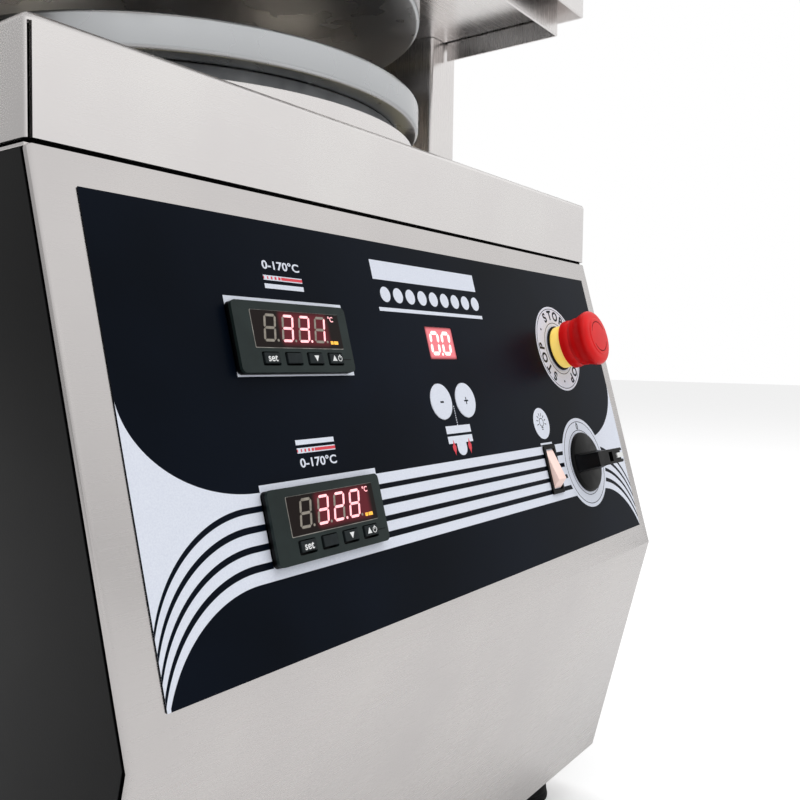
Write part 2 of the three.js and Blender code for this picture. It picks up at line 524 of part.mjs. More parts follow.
// A push-to-stop button: the collar and its threaded barrel stay, the stem and the head push in,
// and the head turns on the stem to let it out again.
function buildStopButton() {
  const { u, v, barrel, stem, collar, gasket } = STOP;
  const [x, y] = at(u, v);
  const seat = OVERLAY.over + GAP;
  const bore = stem + GAP;
  const standing = turned([[bore, -20], [barrel, -20], [barrel, seat], [gasket, seat], [gasket, seat + 1.2],
    [collar, seat + 1.2], [collar, 10.3], [bore, 10.3]], 24);
  fit('stop_collar', standing.translate([x, y, 0]), YELLOW_PLASTIC);
  fit('stop_contacts', block(around(x, 28), around(y, 38), [-62, -22.3]), BLACK_PLASTIC);
  fit('stop_stem', consoleRod(u, v, stem, [-16, 22], 20), BLACK_PLASTIC);
  const head = turned([[0, 22.3], [bore, 22.3], [bore, 16.6], [collar + 0.6, 16.6], [collar + 0.6, 10.6], [17, 10.6],
    [17.3, 14], [17, 19.5], [18.6, 25.8], [19.6, 29], [18.6, 31.8], [12, 33.6], [0, 34]], 28);
  fit('stop_head', head.translate([x, y, 0]), RED_PLASTIC);
}

// The grip lies across the disc and points to the right, which is the switched-on position.
function buildMainSwitch() {
  const { u, v, disc, discFace, gripFace, gripWidth, shaft } = SWITCH;
  const [x, y] = at(u, v);
  const bore = consoleRod(u, v, shaft + GAP, [-22, 5], 16);
  fit('main_switch_body', cut(block(around(x, 48), around(y, 48), [-46, -SHEET - GAP]), bore), BLACK_PLASTIC);
  const grip = block([x - disc + 1, x + disc - 1], around(y, gripWidth), [discFace - 1, gripFace]);
  fit('main_switch_knob', join(
    consoleRod(u, v, disc, [OVERLAY.over + GAP, discFace], 40), grip,
    consoleRod(u, v, shaft, [-20, discFace], 16)), BLACK_PLASTIC);
}

// A see-through rocker, resting with its upper end pressed in.
function buildRocker() {
  const { u, v, width, height, keyWidth, face } = ROCKER;
  const [x, y] = at(u, v);
  const seat = OVERLAY.over + GAP;
  const well = consoleBlock(u, v, keyWidth + 2 * GAP, height - 5, [-14, 10]);
  fit('rocker_frame', cut(join(
    slab(around(x, width), around(y, height), [seat, face], 1),
    consoleBlock(u, v, width - 2.6, height - 2.6, [-20, seat + 0.5])), well), BLACK_PLASTIC);
  const profile = [[13.2, 1.4], [-7.3, 6.9], [-12.6, 1.4], [-9, -6.5], [0, -9], [10, -6.5]];
  fit('rocker_key', alongX(profile, keyWidth / 2).translate([x, y, 0]), ROCKER_PLASTIC);
}

// The contactors and the terminal block stand in a row on one rail behind the front panel.
function buildContactors() {
  const low = FOOT_HEIGHT + SHEET + GAP;
  const rail = block([-150, 150], [-170, -135], [low, low + 8]);
  const units = range(4).map((i) => block([-140 + 56 * i, -95 + 56 * i], [-182, -118], [low + 7, low + 85]));
  const terminals = block([90, 145], [-168, -132], [low + 7, low + 50]);
  place('contactor_rail', join(rail, ...units, terminals), MACHINE_PAINT);
}

buildCasing();
buildFrame();
buildDrive();
buildRam();
buildUpperPlate();
buildGuard();
buildContactors();
buildOverlay();
buildControllers();
buildTimer();
buildStopButton();
buildMainSwitch();
buildRocker();

export default press;
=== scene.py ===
import json
import math

import bmesh
import bpy
from mathutils import Matrix, Vector


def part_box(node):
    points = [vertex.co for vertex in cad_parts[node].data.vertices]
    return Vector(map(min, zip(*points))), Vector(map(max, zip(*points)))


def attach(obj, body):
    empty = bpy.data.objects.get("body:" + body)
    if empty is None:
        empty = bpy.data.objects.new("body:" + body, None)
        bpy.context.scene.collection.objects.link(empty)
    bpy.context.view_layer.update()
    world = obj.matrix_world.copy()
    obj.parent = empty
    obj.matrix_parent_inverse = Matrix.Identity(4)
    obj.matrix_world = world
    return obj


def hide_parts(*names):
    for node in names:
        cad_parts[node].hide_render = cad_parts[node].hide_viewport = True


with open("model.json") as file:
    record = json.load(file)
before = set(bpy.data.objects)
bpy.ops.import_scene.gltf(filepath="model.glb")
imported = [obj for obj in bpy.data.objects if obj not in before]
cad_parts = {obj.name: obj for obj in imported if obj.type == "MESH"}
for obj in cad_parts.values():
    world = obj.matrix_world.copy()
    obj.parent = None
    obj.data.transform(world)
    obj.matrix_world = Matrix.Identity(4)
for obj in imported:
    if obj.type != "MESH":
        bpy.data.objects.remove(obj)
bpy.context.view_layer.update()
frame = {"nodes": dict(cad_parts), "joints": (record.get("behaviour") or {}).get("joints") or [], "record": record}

# ---------------------------------------------------------------- camera
# The press is seen from the front left, close to its console. The console has a frame of its own:
# X across, Y up the slope and Z out of it, from the top left corner of the sloping sheet. The camera
# stands in the machine's axes from that corner.
MM = 0.001
STOP_AXIS = Vector(next(j for j in frame["joints"] if j["name"] == "stop_push")["axis"])
OUTWARD = -STOP_AXIS
ACROSS = Vector((1, 0, 0))
UP_SLOPE = OUTWARD.cross(ACROSS)
PANEL_CORNER = Vector((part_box("front_panel")[0].x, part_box("deck_cover")[0].y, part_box("front_panel")[1].z))
CONSOLE = Matrix((ACROSS, UP_SLOPE, OUTWARD)).transposed().to_4x4()
CONSOLE.translation = PANEL_CORNER
CONSOLE_MM = CONSOLE @ Matrix.Scale(MM, 4)    # the same, for meshes in millimetres

CAMERA_FROM_CORNER = Vector((-169.7, -299.5, -76.9)) * MM
CAMERA_HEADING = 53.24    # degrees, from straight at the front towards the right
CAMERA_PITCH = -2.92
CAMERA_ROLL = 0.82
LENS = 38.16

camera = bpy.data.objects.new("camera", bpy.data.cameras.new("camera"))
bpy.context.scene.collection.objects.link(camera)
camera.data.lens = LENS
camera.data.clip_start = 0.01
camera.matrix_world = (Matrix.Translation(PANEL_CORNER + CAMERA_FROM_CORNER)
                       @ Matrix.Rotation(math.radians(-CAMERA_HEADING), 4, "Z")
                       @ Matrix.Rotation(math.radians(90 + CAMERA_PITCH), 4, "X")
                       @ Matrix.Rotation(math.radians(CAMERA_ROLL), 4, "Z"))
bpy.context.scene.camera = camera

# ---------------------------------------------------------------- stainless casing
# The covers are 2 mm stainless sheet, cut, folded on a press brake and satin polished with a fine
# belt. The front panel hangs on the side panels by its turned-back edges, and the deck, the cheeks
# and the head are folded boxes that stand on each other.
BODY_OF = {node: body for body, nodes in frame["record"]["behaviour"]["bodies"].items() for node in nodes}


def linear(colour):
    """An sRGB hex colour as linear red, green, blue and alpha."""
    parts = [int(colour[i:i + 2], 16) / 255 for i in (0, 2, 4)]
    return [p / 12.92 if p <= 0.04045 else ((p + 0.055) / 1.055) ** 2.4 for p in parts] + [1.0]


def add(tree, kind, settings=None, links=None):
    """Adds a node. Settings are its properties or its inputs' values, links feed inputs."""
    node = tree.nodes.new(kind)
    for name, value in (settings or {}).items():
        if isinstance(name, int) or name in node.inputs:
            node.inputs[name].default_value = value
        else:
            setattr(node, name, value)
    for name, output in (links or {}).items():
        tree.links.new(node.inputs[name], output)
    return node


def surface(name, colour, roughness, settings=None):
    """A material with one Principled shader. Returns it with its tree and shader."""
    material = bpy.data.materials.new(name)
    material.use_nodes = True
    tree = material.node_tree
    shader = tree.nodes["Principled BSDF"]
    shader.inputs["Base Color"].default_value = linear(colour)
    shader.inputs["Roughness"].default_value = roughness
    for socket, value in (settings or {}).items():
        shader.inputs[socket].default_value = value
    return material, tree, shader


def pattern(tree, size, detail=2.0, stretch=(1, 1, 1)):
    """Noise on the piece's own coordinates, with features of a size in millimetres."""
    place = add(tree, "ShaderNodeTexCoord")
    scale = [1 / (size * MM * s) for s in stretch]
    mapping = add(tree, "ShaderNodeMapping", {"Scale": scale}, {"Vector": place.outputs["Object"]})
    noise = add(tree, "ShaderNodeTexNoise", {"Scale": 1.0, "Detail": detail}, {"Vector": mapping.outputs[0]})
    return noise.outputs["Fac"]


def spread(tree, factor, low, high):
    """The middle of a noise's range, spread between two values."""
    return add(tree, "ShaderNodeMapRange", {"From Min": 0.3, "From Max": 0.7, "To Min": low, "To Max": high},
               {"Value": factor}).outputs[0]


def mixed(tree, factor, colour_a, colour_b):
    """A colour between two, by a factor."""
    node = tree.nodes.new("ShaderNodeMix")
    node.data_type = "RGBA"
    node.inputs[6].default_value = linear(colour_a)
    node.inputs[7].default_value = linear(colour_b)
    tree.links.new(node.inputs[0], factor)
    return node.outputs[2]


def bump(tree, shader, height, depth):
    """Relief of a depth in millimetres."""
    node = add(tree, "ShaderNodeBump", {"Strength": 1.0, "Distance": depth * MM}, {"Height": height})
    tree.links.new(shader.inputs["Normal"], node.outputs[0])


def tinted(tree, shader, noise, dark, light):
    """Varies a surface's colour between two by a noise."""
    tree.links.new(shader.inputs["Base Color"], mixed(tree, spread(tree, noise, 0, 1), dark, light))


def satin_stainless(name, stretch, dull, bright):
    """Stainless sheet, belt polished: pale warm grey, soft reflections, and fine grain along the
    belt. Real grain is 0.1 mm apart, and it is drawn 0.5 mm apart so that it shows."""
    material, tree, shader = surface(name, bright, 0.3, {"Metallic": 1.0})
    grain = pattern(tree, 0.5, 3.0, stretch)
    handling = pattern(tree, 70, 3.0)
    tinted(tree, shader, handling, dull, bright)
    both = add(tree, "ShaderNodeMath", {"operation": "ADD"})
    tree.links.new(both.inputs[0], spread(tree, grain, 0.2, 0.27))
    tree.links.new(both.inputs[1], spread(tree, handling, 0.0, 0.06))
    tree.links.new(shader.inputs["Roughness"], both.outputs[0])
    bump(tree, shader, grain, 0.004)
    return material


stainless_console = satin_stainless("satin_stainless_console", (120, 1, 1), "CECAC9", "D5D1CF")
stainless_across = satin_stainless("satin_stainless_polished_across", (120, 1, 1), "EAE6E5", "F0EDEB")
stainless_upright = satin_stainless("satin_stainless_polished_upright", (1, 1, 120), "E8E4E3", "EEEBE9")


def link(name, mesh, material, body, smooth=40):
    """Puts a mesh in the scene as a piece that rides on a body, with a material if one is given."""
    obj = bpy.data.objects.new(name, mesh)
    bpy.context.scene.collection.objects.link(obj)
    if material:
        mesh.materials.clear()
        mesh.materials.append(material)
    mesh.shade_smooth()
    mesh.set_sharp_from_angle(angle=math.radians(smooth))
    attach(obj, body)
    return obj


def soften(obj, width, segments=2, corner=30):
    """Breaks the sharp edges of a piece, as deburring or a mould's radius does."""
    edge = obj.modifiers.new("edges", "BEVEL")
    edge.width = width * MM
    edge.segments = segments
    edge.limit_method = "ANGLE"
    edge.angle_limit = math.radians(corner)
    edge.harden_normals = True
    return obj


def finished(node, material, width=0.3, segments=2, corner=50, smooth=40):
    """A node's own shape with its vertices joined, its flat faces whole and its edges broken."""
    shape = bmesh.new()
    shape.from_mesh(frame["nodes"][node].data)
    bmesh.ops.remove_doubles(shape, verts=shape.verts, dist=0.002 * MM)
    bmesh.ops.dissolve_limit(shape, angle_limit=math.radians(0.3), verts=shape.verts, edges=shape.edges)
    mesh = bpy.data.meshes.new(node + "_finished")
    shape.to_mesh(mesh)
    shape.free()
    obj = link(node + "_finished", mesh, material, BODY_OF[node], smooth)
    if width:
        soften(obj, width, segments, corner)
    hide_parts(node)
    return obj


finished("front_panel", stainless_console, 0.9, 3, 30, 60)
for node in ("deck_cover", "head_cover", "base_pan", "rear_panel", "upper_rear_cover", "head_underplate"):
    finished(node, stainless_across)
for node in ("left_cheek", "right_cheek"):
    finished(node, stainless_upright)

# ---------------------------------------------------------------- black side panels
# Mild steel sheet, powder coated satin black. Each one lies inside the front panel's turned edge and
# is screwed to the base, and its slots let the motor's warm air out.


def uneven(tree, shader, noise, smooth, rough):
    """Varies a surface's roughness between two by a noise."""
    tree.links.new(shader.inputs["Roughness"], spread(tree, noise, smooth, rough))


# Powder coat: near black and satin, with a very fine peel.
black_powder_coat, tree, shader = surface("black_powder_coat", "040405", 0.35, {"Specular IOR Level": 0.14})
bump(tree, shader, pattern(tree, 0.9, 2.0), 0.02)
uneven(tree, shader, pattern(tree, 30, 3.0), 0.33, 0.36)
for node in ("left_side_panel", "right_side_panel"):
    finished(node, black_powder_coat)

# ---------------------------------------------------------------- flanges and painted gap shade under the deck
# The side sheets end in a narrow stainless flange below the deck. Near-black strips stand behind the gaps round
# the front panel and in the deck's open corners; their black is painted shade, so that the gaps read dark.
# Near-black and dull, with a fine texture: painted shade for the gaps.
gap_shade_strip, tree, shader = surface("black_strip_painted_gap_shade", "030303", 0.95, {"Specular IOR Level": 0.05})
bump(tree, shader, pattern(tree, 0.8, 2.0), 0.1)
tinted(tree, shader, pattern(tree, 2), "020202", "050505")
SHADE_STRIP = {"thick": 2.0, "behind": 2.2, "reach": 9.0}
FLANGE = {"over": 0.5, "under": 0.9, "width": 3.0, "inset": 0.4}


def box_mesh(low, high):
    """A box between two corners in metres."""
    mesh = bpy.data.meshes.new("box")
    shape = bmesh.new()
    bmesh.ops.create_cube(shape, size=1.0)
    middle, size = (Vector(low) + Vector(high)) / 2, Vector(high) - Vector(low)
    for vertex in shape.verts:
        vertex.co = Vector(a * b for a, b in zip(vertex.co, size)) + middle
    shape.to_mesh(mesh)
    shape.free()
    return mesh


deck_low, deck_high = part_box("deck_cover")
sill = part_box("front_panel")[1].z
strips = []
for side in (-1, 1):
    outer = side * (deck_high.x - FLANGE["inset"] * MM)
    xs = sorted((outer, outer - side * FLANGE["width"] * MM))
    flange = link("side_flange_" + ("left" if side < 0 else "right"), box_mesh(
        (xs[0], deck_low.y + 2.5 * MM, sill - FLANGE["under"] * MM),
        (xs[1], deck_high.y - 3 * MM, sill + FLANGE["over"] * MM)), stainless_across, "casing")
    soften(flange, 0.2, 2)
    inner = sorted((side * (deck_high.x - 3 * MM), side * (deck_high.x - (3 + SHADE_STRIP["thick"]) * MM)))
    strips.append((inner[0], deck_low.y + SHADE_STRIP["behind"] * MM, sill - 4 * MM, inner[1], deck_high.y - 3 * MM,
                   deck_high.z - 4 * MM))
strips.append((-deck_high.x + 5.1 * MM, deck_low.y + SHADE_STRIP["behind"] * MM, sill - 1.8 * MM,
               deck_high.x - 5.1 * MM,
               deck_low.y + (SHADE_STRIP["behind"] + SHADE_STRIP["thick"]) * MM, sill + SHADE_STRIP["reach"] * MM))
for number, strip in enumerate(strips, 1):
    soften(link(f"deck_seal_{number}", box_mesh(strip[:3], strip[3:]), gap_shade_strip, "casing"),
           0.3, 2)

# ---------------------------------------------------------------- control overlay
# A polyester film, printed from behind in dark navy and pale grey and stuck to the sloping sheet. Its
# pale field sweeps up at the left and right ends, with five pale and four dark stripes between.
FILM_FACE = 0.8    # mm above the sheet
PRINT = 0.05       # thickness that one printed colour stands above the next
FILM = {"left": 17.7, "right": 466.2, "top": 14.5, "bottom": 212.8}
STRIPES = (146.2, 148.8, 154.1, 156.9, 162.2, 164.9, 170.0, 173.0)   # edges of the dark stripes, down
FOOT_FIELD = 178.2                                                     # top of the dark field below them
SWEEP_LEFT = {"u": 72, "radius": 58}
SWEEP_RIGHT = {"u": 414, "radius": 57}
TOP_FIELD = 140.8
TOP_LEFT = {"u": 80.5, "v": 95.5, "across": 63, "down": 45.3}
TOP_RIGHT = {"u": 406.4, "v": 98, "across": 60, "down": 42.8}


def clean(mesh):
    """Joins a mesh's doubled points and turns its faces outwards."""
    shape = bmesh.new()
    shape.from_mesh(mesh)
    bmesh.ops.remove_doubles(shape, verts=shape.verts, dist=1e-4)
    bmesh.ops.recalc_face_normals(shape, faces=shape.faces)
    shape.to_mesh(mesh)
    shape.free()
    return mesh


def mesh_of(data):
    """A curve or text as a plain mesh, in the curve's own units."""
    holder = bpy.data.objects.new("holder", data)
    bpy.context.scene.collection.objects.link(holder)
    depsgraph = bpy.context.evaluated_depsgraph_get()
    mesh = bpy.data.meshes.new_from_object(holder.evaluated_get(depsgraph))
    bpy.data.objects.remove(holder)
    return clean(mesh)


def plate(outlines, thickness):
    """A flat plate in mm, bottom at zero, from closed outlines of (u, v). Inner outlines are holes."""
    curve = bpy.data.curves.new("outline", "CURVE")
    curve.dimensions = "2D"
    curve.fill_mode = "BOTH"
    curve.extrude = thickness / 2
    for outline in outlines:
        spline = curve.splines.new("POLY")
        spline.points.add(len(outline) - 1)
        for point, (u, v) in zip(spline.points, outline):
            point.co = (u, -v, thickness / 2, 1)
        spline.use_cyclic_u = True
    mesh = mesh_of(curve)
    low = min(vertex.co.z for vertex in mesh.vertices)
    mesh.transform(Matrix.Translation((0, 0, -low)))
    return mesh


def words(text, height, thickness, weight=0.0):
    """Lettering in mm, capitals of a height, centred on zero."""
    curve = bpy.data.curves.new("words", "FONT")
    curve.body = text
    curve.align_x = "CENTER"
    curve.align_y = "CENTER"
    curve.size = height / 0.69
    curve.offset = weight
    curve.extrude = thickness / 2
    mesh = mesh_of(curve)
    mesh.transform(Matrix.Translation((0, 0, thickness / 2)))
    return mesh


def joined(name, parts):
    """One mesh from several, each a (mesh, matrix) pair."""
    shape = bmesh.new()
    for mesh, matrix in parts:
        mesh.transform(matrix)
        shape.from_mesh(mesh)
    whole = bpy.data.meshes.new(name)
    shape.to_mesh(whole)
    shape.free()
    return whole


def set_at(u, v, height=0.0, turn=0.0):
    """Where a mesh in mm goes on the panel, turned clockwise by an angle in degrees."""
    return Matrix.Translation((u, -v, height)) @ Matrix.Rotation(math.radians(-turn), 4, "Z")


def on_console(name, parts, height, material, body="casing", smooth=40):
    """A piece on the console from (mesh, matrix) pairs in mm, its bottom at a height above the sheet."""
    mesh = joined(name, parts)
    mesh.transform(CONSOLE_MM @ Matrix.Translation((0, 0, height)))
    return link(name, mesh, material, body, smooth)


def printed(name, outlines, layer, material):
    """A printed colour on the film, in a layer from 1 upwards. Outlines are grouped by shape."""
    parts = [(plate(group, PRINT), Matrix()) for group in outlines]
    return on_console(name, parts, FILM_FACE + PRINT * (layer - 1), material)


def circle(u, v, radius, steps=64):
    """A circle's outline."""
    return [(u + radius * math.cos(math.tau * i / steps), v + radius * math.sin(math.tau * i / steps))
            for i in range(steps)]


def ring(u, v, outer, inner, steps=96):
    """A ring's two outlines."""
    return [circle(u, v, outer, steps), circle(u, v, inner, steps)]


def bar(u0, v0, u1, v1, lean=0.0):
    """A bar between two corners. Its bottom is moved to the right by a lean."""
    return [(u0, v0), (u1, v0), (u1 + lean, v1), (u0 + lean, v1)]


def eased(low, high, count):
    """Values between two ends, closer together towards the ends."""
    return [low + (high - low) * (1 - math.cos(math.pi * i / (count - 1))) / 2 for i in range(count)]


def sweep(u):
    """How far the stripes have bent down at a place across the film."""
    for side, past in ((SWEEP_LEFT, SWEEP_LEFT["u"] - u), (SWEEP_RIGHT, u - SWEEP_RIGHT["u"])):
        if past > 0:
            return side["radius"] - math.sqrt(side["radius"] ** 2 - past ** 2)
    return 0.0


def top_edge(u):
    """The lower edge of the dark top field."""
    for side, past in ((TOP_LEFT, TOP_LEFT["u"] - u), (TOP_RIGHT, u - TOP_RIGHT["u"])):
        if past > 0:
            return side["v"] + side["down"] * math.sqrt(max(0.0, 1 - (past / side["across"]) ** 2))
    return TOP_FIELD


def stripe(upper, lower):
    """A stripe between two edges that are functions of u, cut off where it would leave the film."""
    across = eased(FILM["left"], SWEEP_LEFT["u"] + 10, 48) + eased(SWEEP_RIGHT["u"] - 10, FILM["right"], 48)
    across = [u for u in across if upper(u) < FILM["bottom"] - 0.02]
    over = [(u, upper(u)) for u in across]
    under = [(u, min(lower(u), FILM["bottom"])) for u in reversed(across)]
    return [over + under]


# Textured polyester: deep navy seen through a fine matt face, with little sheen.
navy_film, tree, shader = surface("printed_polyester_navy", "060B16", 0.36, {"Specular IOR Level": 0.05})
film_grain = pattern(tree, 0.35, 2.0)
bump(tree, shader, film_grain, 0.004)
tinted(tree, shader, pattern(tree, 90), "040912", "08101C")
finished("control_overlay", navy_film, 0.1, 1)

# The same film over pale grey ink.
pale_ink, tree, shader = surface("printed_polyester_pale_grey", "DDE2EE", 0.45, {"Specular IOR Level": 0.3})
ink_grain = pattern(tree, 0.7, 2.0)
tinted(tree, shader, ink_grain, "D8DDEA", "E1E6F1")
bump(tree, shader, ink_grain, 0.003)
navy_ink = navy_film

printed("pale_field", [stripe(top_edge, lambda u: FILM["bottom"])], 1, pale_ink)
for number, (upper, lower) in enumerate(zip(STRIPES[::2], STRIPES[1::2]), 1):
    printed(f"dark_stripe_{number}", [stripe(lambda u, v=upper: v + sweep(u), lambda u,
                                             v=lower: v + sweep(u))],
            2, navy_ink)
printed("dark_foot_field", [stripe(lambda u: FOOT_FIELD + sweep(u), lambda u: FILM["bottom"])], 2, navy_ink)

# ---------------------------------------------------------------- legends above the timer
# Pale bars frame a row of plain discs, which stand where a maker would print a name.
printed("title_bar", [[bar(190.6, 25.4, 295.8, 36.5)]], 1, pale_ink)
printed("title_line", [[bar(191, 52.4, 297.2, 54.5)]], 1, pale_ink)
DISC_COUNT = 9
printed("title_discs", [[circle(199 + 11.6 * i, 44.8, 4.4, 40)] for i in range(DISC_COUNT)], 1, pale_ink)

# ---------------------------------------------------------------- controller legends
# Each controller has its range, a red and pale scale bar and a pale bar, and stands on a pale patch.
# Red ink, with a dull face.
red_ink, tree, shader = surface("printed_polyester_red", "D9404C", 0.45, {"Specular IOR Level": 0.3})
tinted(tree, shader, pattern(tree, 0.7), "D53C48", "DE4551")
RANGES = {"upper": {"text": 36.8, "scale": 42.9, "bar": 47.0},
          "lower": {"text": 130.9, "scale": 125.0, "bar": 121.2}}
RANGE_MIDDLE = 120.6
for place_name, rows in RANGES.items():
    text = words("0-170°C", 3.9, PRINT, 0.12)
    width = max(vertex.co.x for vertex in text.vertices) * 2
    squeeze = Matrix.Diagonal((24.6 / width, 1, 1, 1))
    on_console(place_name + "_range_figures", [(text, set_at(RANGE_MIDDLE, rows["text"]) @ squeeze)],
               FILM_FACE,
               pale_ink)
    printed(place_name + "_range_bar", [[bar(RANGE_MIDDLE - 13, rows["bar"] - 1.15, RANGE_MIDDLE + 13,
                                             rows["bar"] + 1.15)]], 1, pale_ink)
    left, low, high = RANGE_MIDDLE - 12.9, rows["scale"] - 1.2, rows["scale"] + 1.2
    printed(place_name + "_range_scale", [[bar(left, low, left + 25.8, high)]], 1, pale_ink)
    steps = [(left + 2.4 * i, left + 2.4 * i + 0.5 + 0.25 * i)
             for i in range(5)] + [(left + 11.6, left + 25.8)]
    printed(place_name + "_range_red", [[bar(a, low + 0.5, b, high - 0.5)] for a, b in steps], 2, red_ink)
printed("upper_controller_patch", [[bar(80.6, 53.4, 158.6, 90.2)]], 1, pale_ink)
printed("lower_controller_patch", [[bar(80.6, 137.8, 159.5, 176.5)]], 3, pale_ink)

# ---------------------------------------------------------------- temperature controllers
# Panel-mount controllers, 75 by 33 mm, moulded in glass-filled polycarbonate. A tinted lens covers the
# seven-segment digits, and four keys stand in pockets under it. A bracket holds each one from behind.
CONTROLLER = {"width": 75, "height": 33, "seat": 1.1, "face": 5.3, "corner": 2.6, "plate": 1.7}
WINDOW = {"left": -27.5, "right": 31.3, "top": -12.5, "bottom": 5.2}
KEY_POCKETS = [(-18.8 + 14.4 * i, 9.8) for i in range(4)]
KEY_FLOOR = 2.1    # where the pockets end, above the sheet
POCKET = {"width": 10.9, "height": 6.4, "left": 0.35, "down": 0.3}   # the gap is wider on its left and below


def rounded(u0, v0, u1, v1, radius, steps=6):
    """A rectangle with rounded corners."""
    corners = ((u1 - radius, v1 - radius, 0), (u0 + radius, v1 - radius, 1), (u0 + radius, v0 + radius, 2),
               (u1 - radius, v0 + radius, 3))
    return [(u + radius * math.cos(math.pi / 2 * (quarter + i / steps)),
             v + radius * math.sin(math.pi / 2 * (quarter + i / steps)))
            for u, v, quarter in corners for i in range(steps + 1)]


def block(u0, v0, u1, v1, low, high):
    """A box in mm as a (mesh, matrix) pair."""
    return plate([bar(u0, v0, u1, v1)], high - low), Matrix.Translation((0, 0, low))


# Moulded polycarbonate, dark grey-green, with a fine spark-eroded face.
bezel_moulding, tree, shader = surface("moulded_polycarbonate_grey_green", "1B2524", 0.45,
                                       {"Specular IOR Level": 0.22})
bezel_grain = pattern(tree, 0.4, 2.0)
bump(tree, shader, bezel_grain, 0.012)
tinted(tree, shader, pattern(tree, 12), "182221", "202B2A")

# Black ABS behind the bezel and in its pockets.
black_moulding, tree, shader = surface("moulded_abs_black", "040405", 0.42, {"Specular IOR Level": 0.13})
bump(tree, shader, pattern(tree, 0.5, 2.0), 0.01)
uneven(tree, shader, pattern(tree, 9), 0.34, 0.46)

# Silicone keys, dark and slightly rough.
key_moulding, tree, shader = surface("moulded_silicone_dark_grey", "1A2123", 0.6, {"Specular IOR Level": 0.2})
bump(tree, shader, pattern(tree, 0.3, 2.0), 0.01)
tinted(tree, shader, pattern(tree, 4), "171D1F", "1F2628")

# Pad-printed white ink, very slightly grey and uneven.
key_legend, tree, shader = surface("pad_printed_white", "E8EAEA", 0.5)
tinted(tree, shader, pattern(tree, 0.5), "DCDEDE", "F0F2F2")

# The polished edge of the lens, pale grey: a painted highlight for the light that it catches.
lens_rim_painted_highlight, tree, shader = surface("acrylic_edge_painted_highlight", "8F8C86", 0.25)
tinted(tree, shader, pattern(tree, 6), "6F6C67", "A5A29B")

SEGMENTS = {"0": "abcdef", "1": "bc", "2": "abdeg", "3": "abcdg", "8": "abcdefg", " ": ""}
DIGIT = {"width": 7.6, "height": 13.1, "slant": 2.65, "stroke": 1.25}
DIGIT_LEFTS = (-19.3, -7.9, 3.0, 13.9)
DIGIT_TOP = -10.8


def segment_outlines(u, v, digit=DIGIT):
    """The seven bars of a digit by letter, from its top left corner. Each has mitred ends."""
    width, height, stroke = digit["width"], digit["height"], digit["stroke"]
    gap = stroke * 0.16

    def lean(points):
        return [(u + a - digit["slant"] * b / height, v + b) for a, b in points]

    def lying(b):
        low, high = b - stroke / 2, b + stroke / 2
        return lean([(gap + stroke / 2, b), (gap + stroke, low), (width - gap - stroke, low),
                     (width - gap - stroke / 2, b), (width - gap - stroke, high), (gap + stroke, high)])

    def standing(a, top, bottom):
        left, right = a - stroke / 2, a + stroke / 2
        return lean([(a, top + gap), (right, top + gap + stroke / 2), (right, bottom - gap - stroke / 2),
                     (a, bottom - gap), (left, bottom - gap - stroke / 2), (left, top + gap + stroke / 2)])

    half, middle, base = stroke / 2, height / 2, height - stroke / 2
    return {"a": lying(half), "g": lying(middle), "d": lying(base),
            "f": standing(half, half, middle), "b": standing(width - half, half, middle),
            "e": standing(half, middle, base), "c": standing(width - half, middle, base)}


def glowing(name, colour, strength, low, high, size):
    """Lit acrylic: it shines by itself, a little unevenly."""
    material, tree, shader = surface(name, colour, 0.3)
    tree.links.new(shader.inputs["Emission Color"],
                   mixed(tree, spread(tree, pattern(tree, size), 0, 1), low, high))
    shader.inputs["Emission Strength"].default_value = strength
    return material


# Lit segments glow a pale red and the marks glow amber, both a little unevenly.
lit_segment = glowing("lit_red_led_segment", "E8A0A6", 1.0, "F29AA3", "FBC4C6", 2.0)
lit_mark = glowing("lit_amber_led", "E0A030", 0.9, "C98A20", "F0B84A", 1.0)
# Unlit segments show as a dull warm grey.
dark_segment, tree, shader = surface("unlit_led_segment", "8C857A", 0.5)
tinted(tree, shader, pattern(tree, 2), "7E776C", "979085")


def lens_material(name, u0, v0, u1, v1, halo, dark, glow):
    """A tinted lens over lit digits: dark, with a painted glow round the digits out to a halo's width, which
    stands in for the segments' light spreading through the lens. It reads the panel map, which holds u and v in
    metres."""
    material, tree, shader = surface(name, dark, 0.3, {"Specular IOR Level": 0.12})
    place = add(tree, "ShaderNodeUVMap", {"uv_map": "panel"})
    parts = add(tree, "ShaderNodeSeparateXYZ", None, {"Vector": place.outputs[0]})
    offsets = []
    for axis, low, high in (("X", u0, u1), ("Y", v0, v1)):
        off = add(tree, "ShaderNodeMath", {"operation": "SUBTRACT", 1: (low + high) / 2 * MM},
                  {0: parts.outputs[axis]})
        size = add(tree, "ShaderNodeMath", {"operation": "ABSOLUTE"}, {0: off.outputs[0]})
        past = add(tree, "ShaderNodeMath", {"operation": "SUBTRACT", 1: (high - low) / 2 * MM},
                   {0: size.outputs[0]})
        offsets.append(add(tree, "ShaderNodeMath", {"operation": "MAXIMUM", 1: 0.0}, {0: past.outputs[0]}))
    far = add(tree, "ShaderNodeCombineXYZ", None, {"X": offsets[0].outputs[0], "Y": offsets[1].outputs[0]})
    distance = add(tree, "ShaderNodeVectorMath", {"operation": "LENGTH"}, {0: far.outputs[0]})
    painted_glow_fade = add(tree, "ShaderNodeMapRange", {"interpolation_type": "SMOOTHSTEP", "From Min": 0.0,
                                            "From Max": halo * MM, "To Min": 1.0, "To Max": 0.0},
               {"Value": distance.outputs["Value"]})
    tree.links.new(shader.inputs["Emission Color"], mixed(tree, painted_glow_fade.outputs[0], "000000", glow))
    shader.inputs["Emission Strength"].default_value = 1.0
    return material


def give_panel_map(obj):
    """Unwraps a console piece straight on to the panel: u and v from the panel's corner, in metres."""
    layer = obj.data.uv_layers.new(name="panel")
    back = CONSOLE.inverted()
    for loop in obj.data.loops:
        place = back @ obj.data.vertices[loop.vertex_index].co
        layer.data[loop.index].uv = (place.x, -place.y)


